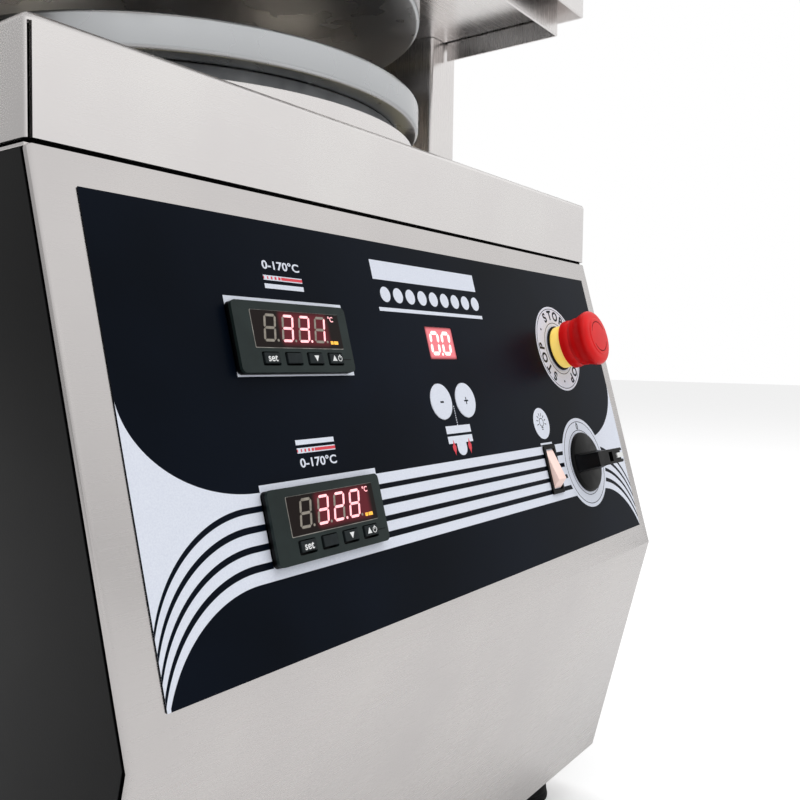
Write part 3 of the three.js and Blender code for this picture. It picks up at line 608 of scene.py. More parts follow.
def controller(prefix, u, v, reading, point_after):
    """One controller with its middle at (u, v)."""
    half_width, half_height = CONTROLLER["width"] / 2, CONTROLLER["height"] / 2
    seat, face = CONTROLLER["seat"], CONTROLLER["face"]
    node = prefix + "_controller"
    window = (u + WINDOW["left"], v + WINDOW["top"], u + WINDOW["right"], v + WINDOW["bottom"])
    pockets = [rounded(u + a - POCKET["left"] - POCKET["width"] / 2,
                       v + b + POCKET["down"] - POCKET["height"] / 2,
                       u + a - POCKET["left"] + POCKET["width"] / 2,
                       v + b + POCKET["down"] + POCKET["height"] / 2,
                       0.9) for a, b in KEY_POCKETS]
    outer = rounded(u - half_width, v - half_height, u + half_width, v + half_height, CONTROLLER["corner"])
    bezel = on_console(node + "_bezel", [(plate([outer, rounded(*window, 0.6), *pockets],
                                                CONTROLLER["plate"]), Matrix())],
                       face - CONTROLLER["plate"], bezel_moulding)
    soften(bezel, 0.45, 3)
    depth = min((CONSOLE.inverted() @ vertex.co).z for vertex in frame["nodes"][node].data.vertices) / MM
    body = on_console(node + "_body", [
        (plate([rounded(u - half_width, v - half_height, u + half_width - 0.3, v + half_height - 0.3, 2.2)],
               KEY_FLOOR - seat), Matrix.Translation((0, 0, seat))),
        (plate([outer, rounded(u - half_width + 1.2, v - half_height + 1.2, u + half_width - 1.2,
                               v + half_height - 1.2, 1.6)], face - CONTROLLER["plate"] - seat - 0.05),
         Matrix.Translation((0, 0, seat))),
        block(u - 35.2, v - 14.2, u + 35.2, v + 14.2, depth + 6, seat + 0.2),
        block(u - 33.5, v - 12.6, u + 33.5, v + 12.6, depth, depth + 6.2)], 0, black_moulding)
    soften(body, 0.3, 2)
    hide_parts(node)
    inset = 0.35
    rim = on_console(node + "_lens_edge", [(plate([rounded(*window, 0.6)], 0.55), Matrix())], face - 0.5,
                     lens_rim_painted_highlight)
    soften(rim, 0.1, 1)
    u0, v0, u1, v1 = window
    # The lens glows round the digits: painted light from the segments behind it.
    lens = on_console(node + "_lens", [
        (plate([rounded(u0 + inset, v0 + inset * 0.4, u1 - inset * 0.4, v1 - inset, 0.5)], 0.5), Matrix())],
                      face - 0.3,
        lens_material(node + "_tinted_acrylic", u + DIGIT_LEFTS[1], v + DIGIT_TOP + 1,
                      u + (25 if prefix == "lower" else 20),
                      v + DIGIT_TOP + 12, 4.2, "160D0B", "5E1622"))
    give_panel_map(lens)
    lit, dark = [], []
    for place_number, (left, figure) in enumerate(zip(DIGIT_LEFTS, reading)):
        outlines = segment_outlines(u + left, v + DIGIT_TOP)
        for letter, outline in outlines.items():
            (lit if letter in SEGMENTS[figure] else dark).append([outline])
        dot = [circle(u + left + DIGIT["width"] - 1.2, v + DIGIT_TOP + DIGIT["height"] - 0.7, 0.65, 16)]
        (lit if place_number == point_after else dark).append(dot)
    glass = face + 0.2
    on_console(node + "_lit_segments", [(plate(group, PRINT), Matrix()) for group in lit], glass,
               lit_segment)
    on_console(node + "_unlit_segments", [(plate(group, PRINT), Matrix()) for group in dark], glass,
               dark_segment)
    on_console(node + "_degree_mark", [(words("°C", 2.5, PRINT, 0.05), set_at(u + 25.4, v - 9.7))], glass,
               lit_segment)
    on_console(node + "_output_mark", [(plate([bar(u + 22.5, v + 1.2, u + 24.4, v + 2.8)], PRINT), Matrix()),
                                       (plate([bar(u + 24.9, v + 1.2, u + 27.9, v + 2.8)], PRINT), Matrix())],
               glass, lit_mark)
    groove = [bar(u + 26.6 + 2.4, v + 10.1, u + half_width - 2.2, v + 10.5)]
    on_console(node + "_groove", [(plate(groove, PRINT), Matrix())], face, black_moulding)
    marks = {"set": (words("set", 3.4, PRINT, 0.07), 0.1, 0.1),
             "down": (plate([[(-1.6, -1.3), (1.6, -1.3), (0, 1.6)]], PRINT), 0.2, 0),
             "up": (plate([[(0, -1.6), (1.6, 1.3), (-1.6, 1.3)]], PRINT), -1.5, 0)}
    for (key_u, key_v), (key, mark) in zip(KEY_POCKETS,
                                           (("set", marks["set"]), ("blank", None), ("down", marks["down"]),
                                                           ("up", marks["up"]))):
        key_node = f"{prefix}_{key}_key"
        finished(key_node, key_moulding, 0.35, 3)
        if mark:
            mesh, du, dv = mark
            parts = [(mesh, set_at(u + key_u + du, v + key_v + dv))]
            if key == "up":
                centre = (u + key_u + 2.4, v + key_v)
                parts.append((plate(ring(*centre, 1.5, 1.15, 24), PRINT), Matrix()))
                parts.append((plate([bar(centre[0] - 0.2, centre[1] - 1.9, centre[0] + 0.2,
                                         centre[1] - 0.1)], PRINT), Matrix()))
            on_console(key_node + "_mark", parts, 5.8, key_legend, BODY_OF[key_node])


controller("upper", 117.6, 73, " 331", 2)
controller("lower", 117.6, 157.2, " 328", 2)

# ---------------------------------------------------------------- timer
# Two lit digits behind a red window, and two domed keys under the film for less and more time. Below
# them a small sign shows the hot plates closing on the dough.
TIMER = {"left": 230.1, "right": 257.5, "top": 62, "bottom": 81}
# The timer's red window has a painted glow round its digits, for their light spreading through the acrylic.
timer_window = finished("timer_display", lens_material(
    "timer_tinted_acrylic", TIMER["left"] + 2, TIMER["top"] + 2, TIMER["right"] - 2, TIMER["bottom"] - 2, 3.0,
    "7A1620", "E2848B"), 0.1, 1)
give_panel_map(timer_window)
# The timer's lit segments are almost white, with a little red.
timer_digits = glowing("lit_timer_segment", "F6D8D2", 1.0, "F8D9D2", "FFF0E8", 2.0)
figures = []
TIMER_DIGIT = {"width": 9.4, "height": 14.6, "slant": 1.2, "stroke": 2.2}
for left in (TIMER["left"] + 3.4, TIMER["left"] + 15.0):
    outlines = segment_outlines(left, TIMER["top"] + 2.3, TIMER_DIGIT)
    figures += [(plate([outlines[letter]], PRINT), Matrix()) for letter in SEGMENTS["0"]]
figures.append((plate([circle(TIMER["left"] + 13.2, TIMER["top"] + 16.2, 0.9, 16)], PRINT), Matrix()))
on_console("timer_digits", figures, 0.6, timer_digits)


def skin(name, rows, closed=False, capped=False):
    """A mesh over rows of points. A row is a ring, or one point where the mesh comes to an end."""
    shape = bmesh.new()
    rows = [[shape.verts.new(point) for point in row] for row in rows]
    for first, second in zip(rows, rows[1:] + (rows[:1] if closed else [])):
        steps = max(len(first), len(second))
        for i in range(steps):
            j = (i + 1) % steps
            corners = list(dict.fromkeys((first[i % len(first)], first[j % len(first)],
                                          second[j % len(second)],
                                          second[i % len(second)])))
            if len(corners) > 2:
                shape.faces.new(corners)
    if capped:
        shape.faces.new(rows[0])
        shape.faces.new(rows[-1])
    bmesh.ops.recalc_face_normals(shape, faces=shape.faces)
    mesh = bpy.data.meshes.new(name)
    shape.to_mesh(mesh)
    shape.free()
    return mesh


def turned(name, profile, where, material, body, steps=64, smooth=32):
    """A turned piece from a closed (radius, height) profile about Z, put where a matrix says."""
    rows = [[(x, y, height) for x, y in circle(0, 0, radius, steps)] if radius else [(0, 0, height)]
            for radius, height in profile]
    mesh = skin(name, rows, profile[0][0] > 0)
    mesh.transform(where)
    return link(name, mesh, material, body, smooth)


def domed_key(node, u, v, sign):
    """A film key over a snap dome: a pale disc, slightly raised in the middle, with a dark sign."""
    radius, face = 10.5, 1.2
    profile = [(0, 0.7), (radius, 0.7), (radius, face - 0.25), (radius - 0.25, face - 0.05),
               (radius * 0.6, face + 0.08),
               (0, face + 0.14)]
    key = turned(node + "_dome", profile, CONSOLE_MM @ set_at(u, v), pale_ink, BODY_OF[node],
                 64)
    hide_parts(node)
    on_console(node + "_sign", [(plate([outline], PRINT), set_at(u, v + 0.4)) for outline in sign],
               face + 0.1,
               navy_ink, BODY_OF[node])


MINUS = [bar(-1.7, -0.55, 1.7, 0.55)]
PLUS = [bar(-2.2, -0.45, 2.2, 0.45), bar(-0.45, -2.2, 0.45, -0.45), bar(-0.45, 0.45, 0.45, 2.2)]
domed_key("timer_minus_key", 230.7, 106.3, MINUS)
domed_key("timer_plus_key", 256.2, 106.3, PLUS)

PRESS_SIGN = 242.3
printed("sign_dots", [[bar(PRESS_SIGN - 0.35, 109.2 + 1.35 * i, PRESS_SIGN + 0.35, 109.2 + 1.35 * i + 0.75)]
                      for i in range(9)], 1, pale_ink)
printed("sign_upper_plate", [[bar(PRESS_SIGN - 12.8, 120.8, PRESS_SIGN + 12.8, 125.3)]], 1, pale_ink)
TONGUE = 4.9
printed("sign_lower_plate", [[[(PRESS_SIGN - 12.8, 126.8), (PRESS_SIGN + 12.8, 126.8),
                               (PRESS_SIGN + 12.8, 131),
                               (PRESS_SIGN + TONGUE, 131)]
                              + [(PRESS_SIGN + TONGUE * math.cos(math.pi * i / 16),
                                  134 + 4.4 * math.sin(math.pi * i / 16))
                                 for i in range(17)]
                              + [(PRESS_SIGN - TONGUE, 131), (PRESS_SIGN - 12.8, 131)]]], 1, pale_ink)
FLAME = [(0, -4.6), (0.9, -2.2), (1.9, -0.6), (1.5, 1.6), (0.6, 3.0), (0.2, 4.6), (-0.5, 2.6), (-1.5, 1.2),
         (-1.7, -0.8),
         (-0.7, -2.0)]
printed("sign_flames", [[[(PRESS_SIGN + side * 8.1 + a, 133.4 + b) for a, b in FLAME]] for side in (-1, 1)],
        2, red_ink)

# ---------------------------------------------------------------- stop button
# A push-to-stop mushroom head in signal red ABS on a yellow collar, over a printed ring that says what
# it does. It pushes in, and twists to let out. The contacts clip on behind the panel.
STOP = {"u": 395.8, "v": 72.2}
STOP_RING = {"outer": 31.6, "hole": 11.4, "thin_out": 29.9, "thin_in": 19.2, "letters": 24.7}
stop_place = CONSOLE_MM @ set_at(STOP["u"], STOP["v"])
printed("stop_ring", [ring(STOP["u"], STOP["v"], STOP_RING["outer"], STOP_RING["hole"])], 1, pale_ink)
for part_name, radius in (("outer", STOP_RING["thin_out"]), ("inner", STOP_RING["thin_in"])):
    printed(f"stop_ring_{part_name}_line", [ring(STOP["u"], STOP["v"], radius + 0.22, radius - 0.22)], 2,
            navy_ink)
letters = []
for middle in (4, 124, 244):
    for letter, angle in zip("STOP", (-29, -9.5, 10, 29)):
        letters.append((words(letter, 6.5, PRINT, 0.34),
                        set_at(STOP["u"], STOP["v"], 0,
                               middle + angle) @ Matrix.Translation((0, STOP_RING["letters"], 0))))
    dot = set_at(STOP["u"], STOP["v"], 0, middle + 60) @ Matrix.Translation((0, STOP_RING["letters"], 0))
    letters.append((plate([circle(0, 0, 0.85, 16)], PRINT), dot))
on_console("stop_ring_letters", letters, FILM_FACE + PRINT, navy_ink)

# Signal red ABS: glossy mouldings with a shallow orange peel.
red_moulding, tree, shader = surface("moulded_abs_signal_red", "DE0A0C", 0.38, {"Specular IOR Level": 0.25})
bump(tree, shader, pattern(tree, 1.4, 2.0), 0.012)
tinted(tree, shader, pattern(tree, 14), "D8080A", "E40C0E")
# Yellow ABS, with a weak painted glow that lifts its colour where the red head shades it.
yellow_moulding_painted_glow, tree, shader = surface("moulded_abs_yellow_painted_glow", "FFE07A", 0.45,
                                        {"Emission Strength": 0.3, "Emission Color": linear("FFD75E")})
bump(tree, shader, pattern(tree, 1.2, 2.0), 0.01)
tinted(tree, shader, pattern(tree, 10), "FFDC6C", "FFE588")
# Nitrile rubber, dull and very slightly mottled.
rubber, tree, shader = surface("moulded_nitrile_rubber", "0C0C0D", 0.75, {"Specular IOR Level": 0.2})
bump(tree, shader, pattern(tree, 0.6, 2.0), 0.015)
tinted(tree, shader, pattern(tree, 6), "09090A", "101011")

head = turned("stop_head_mushroom", [
    (0, 22.3), (6.3, 22.3), (6.3, 16.6), (15.9, 16.6), (15.9, 10.9), (16.2, 10.6), (16.9, 10.6), (17.2, 10.9),
    (17.3, 12), (17.2, 14.2), (16.9, 16), (16.45, 17.1), (16.6, 17.8), (17.1, 18.8), (17.3, 20), (17.2, 20.8),
    (17.4, 22), (18.0, 24), (18.7, 25.8), (19.25, 27.4), (19.5, 28.8), (19.4, 30), (18.9, 31.1), (18.0, 32),
    (16.9, 32.6), (15.6, 32.95), (14, 33.1), (13.2, 33.15), (12.9, 33.3), (12.6, 33.6), (8, 33.9), (0, 34)],
              stop_place,
    red_moulding, BODY_OF["stop_head"], 96)
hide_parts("stop_head")
collar = turned("stop_collar_ring", [(6.3, 2.3), (14.6, 2.3), (15.1, 2.7), (15.3, 3.4), (15.3, 9.2),
                                     (15.0, 10.0),
                                       (14.4, 10.3), (6.3, 10.3)], stop_place, yellow_moulding_painted_glow, "casing",
                96)
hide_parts("stop_collar")
# A black rubber gasket under the collar, sized so that its black also gives the dark crescent of shade round the
# collar's edge: partly painted shade.
turned("stop_gasket", [(11, 1.1), (16, 1.1), (16.4, 1.4), (16.4, 2.0), (16.1, 2.3), (11, 2.3)], stop_place,
       rubber, "casing",
       96)
turned("stop_barrel", [(6.3, 2.2), (6.3, -20), (11, -20)] + [(11 - 0.5 * (i % 2), -19.5 + i)
                                                             for i in range(1, 20)]
       + [(11, 2.2)], stop_place, black_moulding, "casing", 48)
for node in ("stop_contacts", "stop_stem"):
    finished(node, black_moulding)

# Two arc grooves in the head's face show which way it turns. They are drawn as thin dark red arcs on the face,
# whose colour is painted shade of the grooves.
groove_painted_shade, tree, shader = surface("shaded_groove_in_red_abs", "4E0204", 0.6, {"Specular IOR Level": 0.1})
tinted(tree, shader, pattern(tree, 2), "480204", "560305")
GROOVE = {"radius": 10.6, "half": 0.3, "from": 20, "to": 150}
arcs = []
for half_turn in (0, 180):
    steps = [math.radians(half_turn + GROOVE["from"] + (GROOVE["to"] - GROOVE["from"]) * i / 24)
             for i in range(25)]
    width = [GROOVE["half"] * math.sin(math.pi * (i + 1) / 26) ** 0.5 for i in range(25)]
    near = [((GROOVE["radius"] - w) * math.cos(a), (GROOVE["radius"] - w) * math.sin(a))
            for a, w in zip(steps, width)]
    far = [((GROOVE["radius"] + w) * math.cos(a), (GROOVE["radius"] + w) * math.sin(a))
           for a, w in zip(steps, width)]
    arcs.append((plate([near + far[::-1]], 0.35), set_at(STOP["u"], STOP["v"])))
on_console("stop_head_turn_marks", arcs, 33.45, groove_painted_shade, BODY_OF["stop_head"])

# ---------------------------------------------------------------- main switch
# A rotary isolator: a moulded disc with a grip right across it, pointing at the printed mark when off.
# Its body is screwed behind the panel. The grip has a lock slot and a white pointer.
SWITCH = {"u": 395.9, "v": 156.7, "disc": 21.5, "grip_face": 21.5}
switch_place = CONSOLE_MM @ set_at(SWITCH["u"], SWITCH["v"])
printed("switch_ring", [ring(SWITCH["u"], SWITCH["v"], 32.3, 6)], 4, pale_ink)
for part_name, radius in (("outer", 29.6), ("inner", 23.4)):
    printed(f"switch_ring_{part_name}_line", [ring(SWITCH["u"], SWITCH["v"], radius + 0.22, radius - 0.22)],
            5, navy_ink)
on_console("switch_ring_figures", [
    (words("0", 4.2, PRINT, 0.16), set_at(SWITCH["u"], SWITCH["v"] - 25.9)),
    (words("1", 3.6, PRINT, 0.1), set_at(SWITCH["u"] + 26.4, SWITCH["v"], 0, 90)),
    (plate([[(-1.1, 0.5), (1.1, 0.5), (0, -0.8)]], PRINT), set_at(SWITCH["u"], SWITCH["v"] - 28.5))],
    FILM_FACE + PRINT * 4, navy_ink)
disc = turned("main_switch_disc", [(0, 1.1), (21.2, 1.1), (21.5, 1.4), (21.4, 2.6), (20.6, 3.6),
                                   (19.8, 4.0), (0, 4.2)],
              switch_place, black_moulding, BODY_OF["main_switch_knob"], 96)
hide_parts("main_switch_knob")


def grip_mesh():
    """The grip: a bar that flares towards the disc, with a slot across its middle and its tip notched."""
    half_length = SWITCH["disc"] - 1
    top, foot = SWITCH["grip_face"], 4.0
    rows = [(foot, 6.8, half_length - 0.6), (8, 5.7, half_length - 0.1), (14, 5.3, half_length),
            (top, 5.2, half_length - 0.3)]
    return skin("grip", [[(a, b, height) for a, b in rounded(-reach, -half_width, reach, half_width, 1.6, 4)]
                         for height, half_width, reach in rows], capped=True)


def cut_out(obj, tools):
    """Cuts boxes in mm, given in the piece's own frame before it is placed, out of a piece."""
    for number, (mesh, matrix) in enumerate(tools):
        mesh.transform(matrix)
        tool = bpy.data.objects.new("tool", mesh)
        bpy.context.scene.collection.objects.link(tool)
        cutter = obj.modifiers.new(f"cut_{number}", "BOOLEAN")
        cutter.operation = "DIFFERENCE"
        cutter.solver = "EXACT"
        cutter.object = tool
        depsgraph = bpy.context.evaluated_depsgraph_get()
        made = bpy.data.meshes.new_from_object(obj.evaluated_get(depsgraph))
        obj.modifiers.clear()
        obj.data = made
        bpy.data.objects.remove(tool)
    return obj.data


blank = bpy.data.objects.new("blank", grip_mesh())
bpy.context.scene.collection.objects.link(blank)
slot_half = 3.0
grip_shape = cut_out(blank, [block(-slot_half, -3.4, slot_half, 3.4, 12, 30),
                             block(9.2, -3.1, 30, 3.1, 20.1, 30),
                             block(9.2, -3.1, 11.2, 3.1, 15.5, 30)])
bpy.data.objects.remove(blank)
grip = on_console("main_switch_grip", [(grip_shape, set_at(SWITCH["u"], SWITCH["v"]))], 0, black_moulding,
                  BODY_OF["main_switch_knob"])
soften(grip, 0.35, 2)
on_console("main_switch_pointer", [(plate([bar(11.4, -1.75, 21.3, 1.75)], 1.2),
                                    set_at(SWITCH["u"], SWITCH["v"]))], 20.2,
           key_legend, BODY_OF["main_switch_knob"])
finished("main_switch_body", black_moulding)

# ---------------------------------------------------------------- lamp rocker
# A snap-in rocker in a black frame, its key clear polycarbonate over a warm indicator lamp. The disc
# above it shows a lamp.
finished("rocker_frame", black_moulding, 0.25, 2)
rocker_glow = glowing("clear_polycarbonate_warm_lamp", "EFD0C6", 0.22, "EFCEC4", "F6E2DC", 9.0)
finished("rocker_key", rocker_glow, 0.5, 3)
printed("rocker_line", [[bar(336.2, 138.6, 352.4, 139.9)]], 3, pale_ink)
LAMP = {"u": 344.2, "v": 125.4, "radius": 10.7}
printed("lamp_disc", [[circle(LAMP["u"], LAMP["v"], LAMP["radius"])]], 1, pale_ink)
bulb = [ring(LAMP["u"], LAMP["v"] - 0.8, 3.0, 2.5, 32),
        [bar(LAMP["u"] - 1.3, LAMP["v"] + 2.5, LAMP["u"] + 1.3, LAMP["v"] + 3.1)],
        [bar(LAMP["u"] - 1.0, LAMP["v"] + 3.7, LAMP["u"] + 1.0, LAMP["v"] + 4.3)]]
for i in range(8):
    angle = math.radians(-90 + (i - 3.5) * 30)
    c, s = math.cos(angle), math.sin(angle)
    near, far, half = 4.2, 6.4, 0.28
    bulb.append([[(LAMP["u"] + near * c - half * s, LAMP["v"] - 0.8 + near * s + half * c),
                  (LAMP["u"] + near * c + half * s, LAMP["v"] - 0.8 + near * s - half * c),
                  (LAMP["u"] + far * c + half * s, LAMP["v"] - 0.8 + far * s - half * c),
                  (LAMP["u"] + far * c - half * s, LAMP["v"] - 0.8 + far * s + half * c)]])
printed("lamp_sign", bulb, 2, navy_ink)

# ---------------------------------------------------------------- rubber feet
# Four moulded rubber feet, tapered, each with a recess below for the screw that holds it to the pan.
UPRIGHT = Matrix.Scale(MM, 4)
LYING = Matrix.Rotation(-math.pi / 2, 4, "X") @ UPRIGHT      # a profile's axis turned to run backwards
ACROSSWAYS = Matrix.Rotation(math.pi / 2, 4, "Y") @ UPRIGHT  # and to run to the right
FOOT_PROFILE = [(0, 3), (5, 3), (5.6, 0.4), (6, 0), (21.6, 0), (23.6, 0.7), (24.8, 2.2), (24.9, 3.6),
                (24.3, 6.4),
                (23.6, 7), (23.6, 8.2), (24.0, 8.8), (21.3, 28), (20.5, 29), (20.5, 30), (17.4, 37.6),
                (16.4, 39.4), (15.8, 39.7), (0, 39.7)]


def middle_of(node):
    """The middle of a node's box, in metres."""
    low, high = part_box(node)
    return (low + high) / 2


def at_plan(node):
    """A move to a node's middle in plan."""
    middle = middle_of(node)
    return Matrix.Translation((middle.x, middle.y, 0))


for node in ("foot_front_left", "foot_front_right", "foot_back_left", "foot_back_right"):
    foot = turned(node + "_moulded", FOOT_PROFILE, at_plan(node) @ UPRIGHT, rubber, "casing", 48)
    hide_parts(node)

# ---------------------------------------------------------------- what repeats
# Screws, fins, slats and marks are each made once and set out by one of three small trees: on given
# points, in a row, or round a circle.


def maker(name, inputs):
    """An empty tree with a piece, a material and other named inputs. Returns it with its ends."""
    group = bpy.data.node_groups.new(name, "GeometryNodeTree")
    group.interface.new_socket("Geometry", in_out="INPUT", socket_type="NodeSocketGeometry")
    for label, kind in (("Piece", "Object"), ("Material", "Material"), *inputs):
        group.interface.new_socket(label, in_out="INPUT", socket_type="NodeSocket" + kind)
    group.interface.new_socket("Geometry", in_out="OUTPUT", socket_type="NodeSocketGeometry")
    given = add(group, "NodeGroupInput")
    piece = add(group, "GeometryNodeObjectInfo", None, {"Object": given.outputs["Piece"]})
    return group, given, piece.outputs["Geometry"]


def finish_maker(group, given, points, piece, rotation):
    """Ends a tree: the piece on each point, made real and given its material."""
    copies = add(group, "GeometryNodeInstanceOnPoints", None,
                 {"Points": points, "Instance": piece, "Rotation": rotation})
    real = add(group, "GeometryNodeRealizeInstances", None, {"Geometry": copies.outputs[0]})
    dressed = add(group, "GeometryNodeSetMaterial", None,
                  {"Geometry": real.outputs[0], "Material": given.outputs["Material"]})
    add(group, "NodeGroupOutput", None, {"Geometry": dressed.outputs[0]})
    return group


group, given, piece = maker("on_points", [("Facing", "Vector")])
turn = add(group, "FunctionNodeAlignRotationToVector", {"axis": "Z"}, {"Vector": given.outputs["Facing"]})
on_points = finish_maker(group, given, given.outputs["Geometry"], piece, turn.outputs[0])

group, given, piece = maker("in_a_row", [("Count", "Int"), ("Pitch", "Vector")])
line = add(group, "GeometryNodeMeshLine", {"mode": "OFFSET"},
           {"Count": given.outputs["Count"], "Offset": given.outputs["Pitch"]})
straight = add(group, "FunctionNodeEulerToRotation")
in_a_row = finish_maker(group, given, line.outputs[0], piece, straight.outputs[0])

group, given, piece = maker("round_a_circle", [("Count", "Int"), ("Radius", "Float")])
hoop = add(group, "GeometryNodeMeshCircle", None,
           {"Vertices": given.outputs["Count"], "Radius": given.outputs["Radius"]})
where = add(group, "GeometryNodeInputPosition")
turn = add(group, "FunctionNodeAlignRotationToVector", {"axis": "X"}, {"Vector": where.outputs[0]})
round_a_circle = finish_maker(group, given, hoop.outputs[0], piece, turn.outputs[0])


def repeated(name, tree, piece_mesh, values, place, material, body, points=((0, 0, 0),), smooth=40):
    """Runs a tree over a piece's mesh in metres, and links the plain mesh that it makes."""
    pattern_piece = bpy.data.objects.new("pattern_piece", piece_mesh)
    seeds = bpy.data.meshes.new("seeds")
    seeds.from_pydata([tuple(point) for point in points], [], [])
    holder = bpy.data.objects.new("holder", seeds)
    for obj in (pattern_piece, holder):
        bpy.context.scene.collection.objects.link(obj)
    making = holder.modifiers.new("making", "NODES")
    making.node_group = tree
    given_values = {"Piece": pattern_piece, "Material": material, **values}
    for socket in tree.interface.items_tree:
        if socket.in_out == "INPUT" and socket.name in given_values:
            making[socket.identifier] = given_values[socket.name]
    depsgraph = bpy.context.evaluated_depsgraph_get()
    mesh = bpy.data.meshes.new_from_object(holder.evaluated_get(depsgraph))
    mesh.transform(place)
    for obj in (holder, pattern_piece):
        bpy.data.objects.remove(obj)
    return link(name, mesh, None, body, smooth)


def lathe(profile, steps=24, sides=None):
    """A turned mesh in metres. With sides, points marked by a third value follow a regular outline."""
    rows = []
    for radius, height, *flat in profile:
        row = []
        for i in range(steps if radius else 1):
            angle = math.tau * i / steps
            reach = radius
            if flat and sides:
                within = (angle + math.pi / sides) % (math.tau / sides) - math.pi / sides
                reach = radius * math.cos(math.pi / sides) / math.cos(within)
            row.append((reach * math.cos(angle) * MM, reach * math.sin(angle) * MM, height * MM))
        rows.append(row)
    return skin("lathe", rows, profile[0][0] > 0)


def socket_screw(radius):
    """A button-head screw with a hexagon socket, seated at zero and facing +Z."""
    return lathe([(0, radius * 0.18), (radius * 0.42, radius * 0.18, 1), (radius * 0.42, radius * 0.52, 1),
                  (radius * 0.56, radius * 0.55), (radius * 0.82, radius * 0.42),
                  (radius * 0.97, radius * 0.2),
                  (radius, radius * 0.08), (radius, -0.15), (0, -0.15)], 24, 6)


def flush_screw(radius):
    """A countersunk screw's face, half a millimetre proud, with its socket, facing +Z."""
    return lathe([(0, 0.05), (radius * 0.4, 0.05, 1), (radius * 0.4, 0.36, 1), (radius * 0.5, 0.4),
                  (radius * 0.9, 0.36), (radius, 0.1), (radius, -0.15), (0, -0.15)], 24, 6)


def hexagon_bolt(radius, washer, height):
    """A hexagon head on its washer, seated at zero and facing +Z."""
    return lathe([(0, -0.15), (washer, -0.15), (washer, radius * 0.12), (washer * 0.97, radius * 0.17),
                  (radius, radius * 0.17, 1), (radius, height * 0.86, 1), (radius * 0.88, height),
                  (0, height)], 24, 6)


# Stainless and zinc plated fasteners: bright, with small differences between one and the next.
bright_screw, tree, shader = surface("stainless_screw", "C4C2C0", 0.28, {"Metallic": 1.0})
uneven(tree, shader, pattern(tree, 6), 0.2, 0.36)
tinted(tree, shader, pattern(tree, 9), "BAB8B6", "CCCAC8")
zinc_bolt, tree, shader = surface("zinc_plated_steel", "B9BCBE", 0.36, {"Metallic": 1.0})
tinted(tree, shader, pattern(tree, 7), "A8ABAF", "C6C6BE")
uneven(tree, shader, pattern(tree, 2), 0.3, 0.46)


def screws(name, points, facing, material, body, radius=4.2, head=socket_screw):
    """Socket screws of one radius in mm, on points in metres."""
    return repeated(name, on_points, head(radius), {"Facing": facing}, Matrix(), material, body, points)


# ---------------------------------------------------------------- base pan and its screws
# The pan closes the machine below. The side panels are screwed to its turned-up edges, behind the
# front panel, and to the rear panel's corners.
side_low, side_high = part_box("left_side_panel")
pan_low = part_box("base_pan")[0]
SIDE_SCREWS_Y = (-130, -20, 90, 200)
for node, side in (("left_side_panel", -1), ("right_side_panel", 1)):
    face = side_low.x if side < 0 else -side_low.x
    rows = [(face, y * MM, pan_low.z + 12 * MM) for y in SIDE_SCREWS_Y]
    rows += [(face, side_high.y - 14 * MM, side_high.z - drop * MM) for drop in (16, 130, 250)]
    screws(node + "_screws", rows, (side, 0, 0), bright_screw, "casing", 4, flush_screw)

# ---------------------------------------------------------------- press frame
# The bed and the crown are welded from 22 mm and 10 mm plate and painted grey. Two hard chromed
# columns hold them apart, each held by a nut and a washer at both ends.
# Sprayed machine enamel: mid grey and satin, with a low orange peel and broad shading.
frame_paint, tree, shader = surface("grey_machine_enamel", "6E7478", 0.42, {"Specular IOR Level": 0.4})
bump(tree, shader, pattern(tree, 1.6, 2.0), 0.03)
tinted(tree, shader, pattern(tree, 40, 4.0), "666C70", "767C80")
# Hard chrome over ground steel: close to a mirror, streaked faintly along the length.
hard_chrome, tree, shader = surface("hard_chromed_ground_steel", "D2D4D6", 0.12, {"Metallic": 1.0})
uneven(tree, shader, pattern(tree, 1.2, 2.0, (1, 1, 0.05)), 0.08, 0.18)
tinted(tree, shader, pattern(tree, 30), "CACCCF", "DADCDE")
finished("press_bed", frame_paint, 1.0, 3)
finished("press_crown", frame_paint, 1.0, 3)


def weld_bead(name, start, end, radius, outward, body):
    """A fillet weld along a line in metres, drawn as overlapping ripples."""
    start, end = Vector(start), Vector(end)
    along = end - start
    ripple = radius * 0.7
    count = max(2, int(along.length / (ripple * MM)))
    bead = lathe([(0, -radius), (radius * 0.7, -radius * 0.7), (radius, 0), (radius * 0.7, radius * 0.7),
                  (0, radius)], 10)
    points = [start + along * ((i + 0.5) / count) for i in range(count)]
    return repeated(name, on_points, bead, {"Facing": tuple(outward)}, Matrix(), frame_paint, body,
                    points)


bed_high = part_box("press_bed")[1]
crown_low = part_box("press_crown")[0]
CROWN_PLATE = 22 * MM
CROWN_RIB = {"y": 45 * MM, "half": 190 * MM}
for side in (-1, 1):
    y = side * (CROWN_RIB["y"] - 0.6 * MM)
    z = crown_low.z + CROWN_PLATE + 0.6 * MM
    weld_bead("crown_weld_" + ("front" if side < 0 else "back"), (-CROWN_RIB["half"], y, z),
              (CROWN_RIB["half"], y, z),
              2.6, (0, -side, 1), "casing")

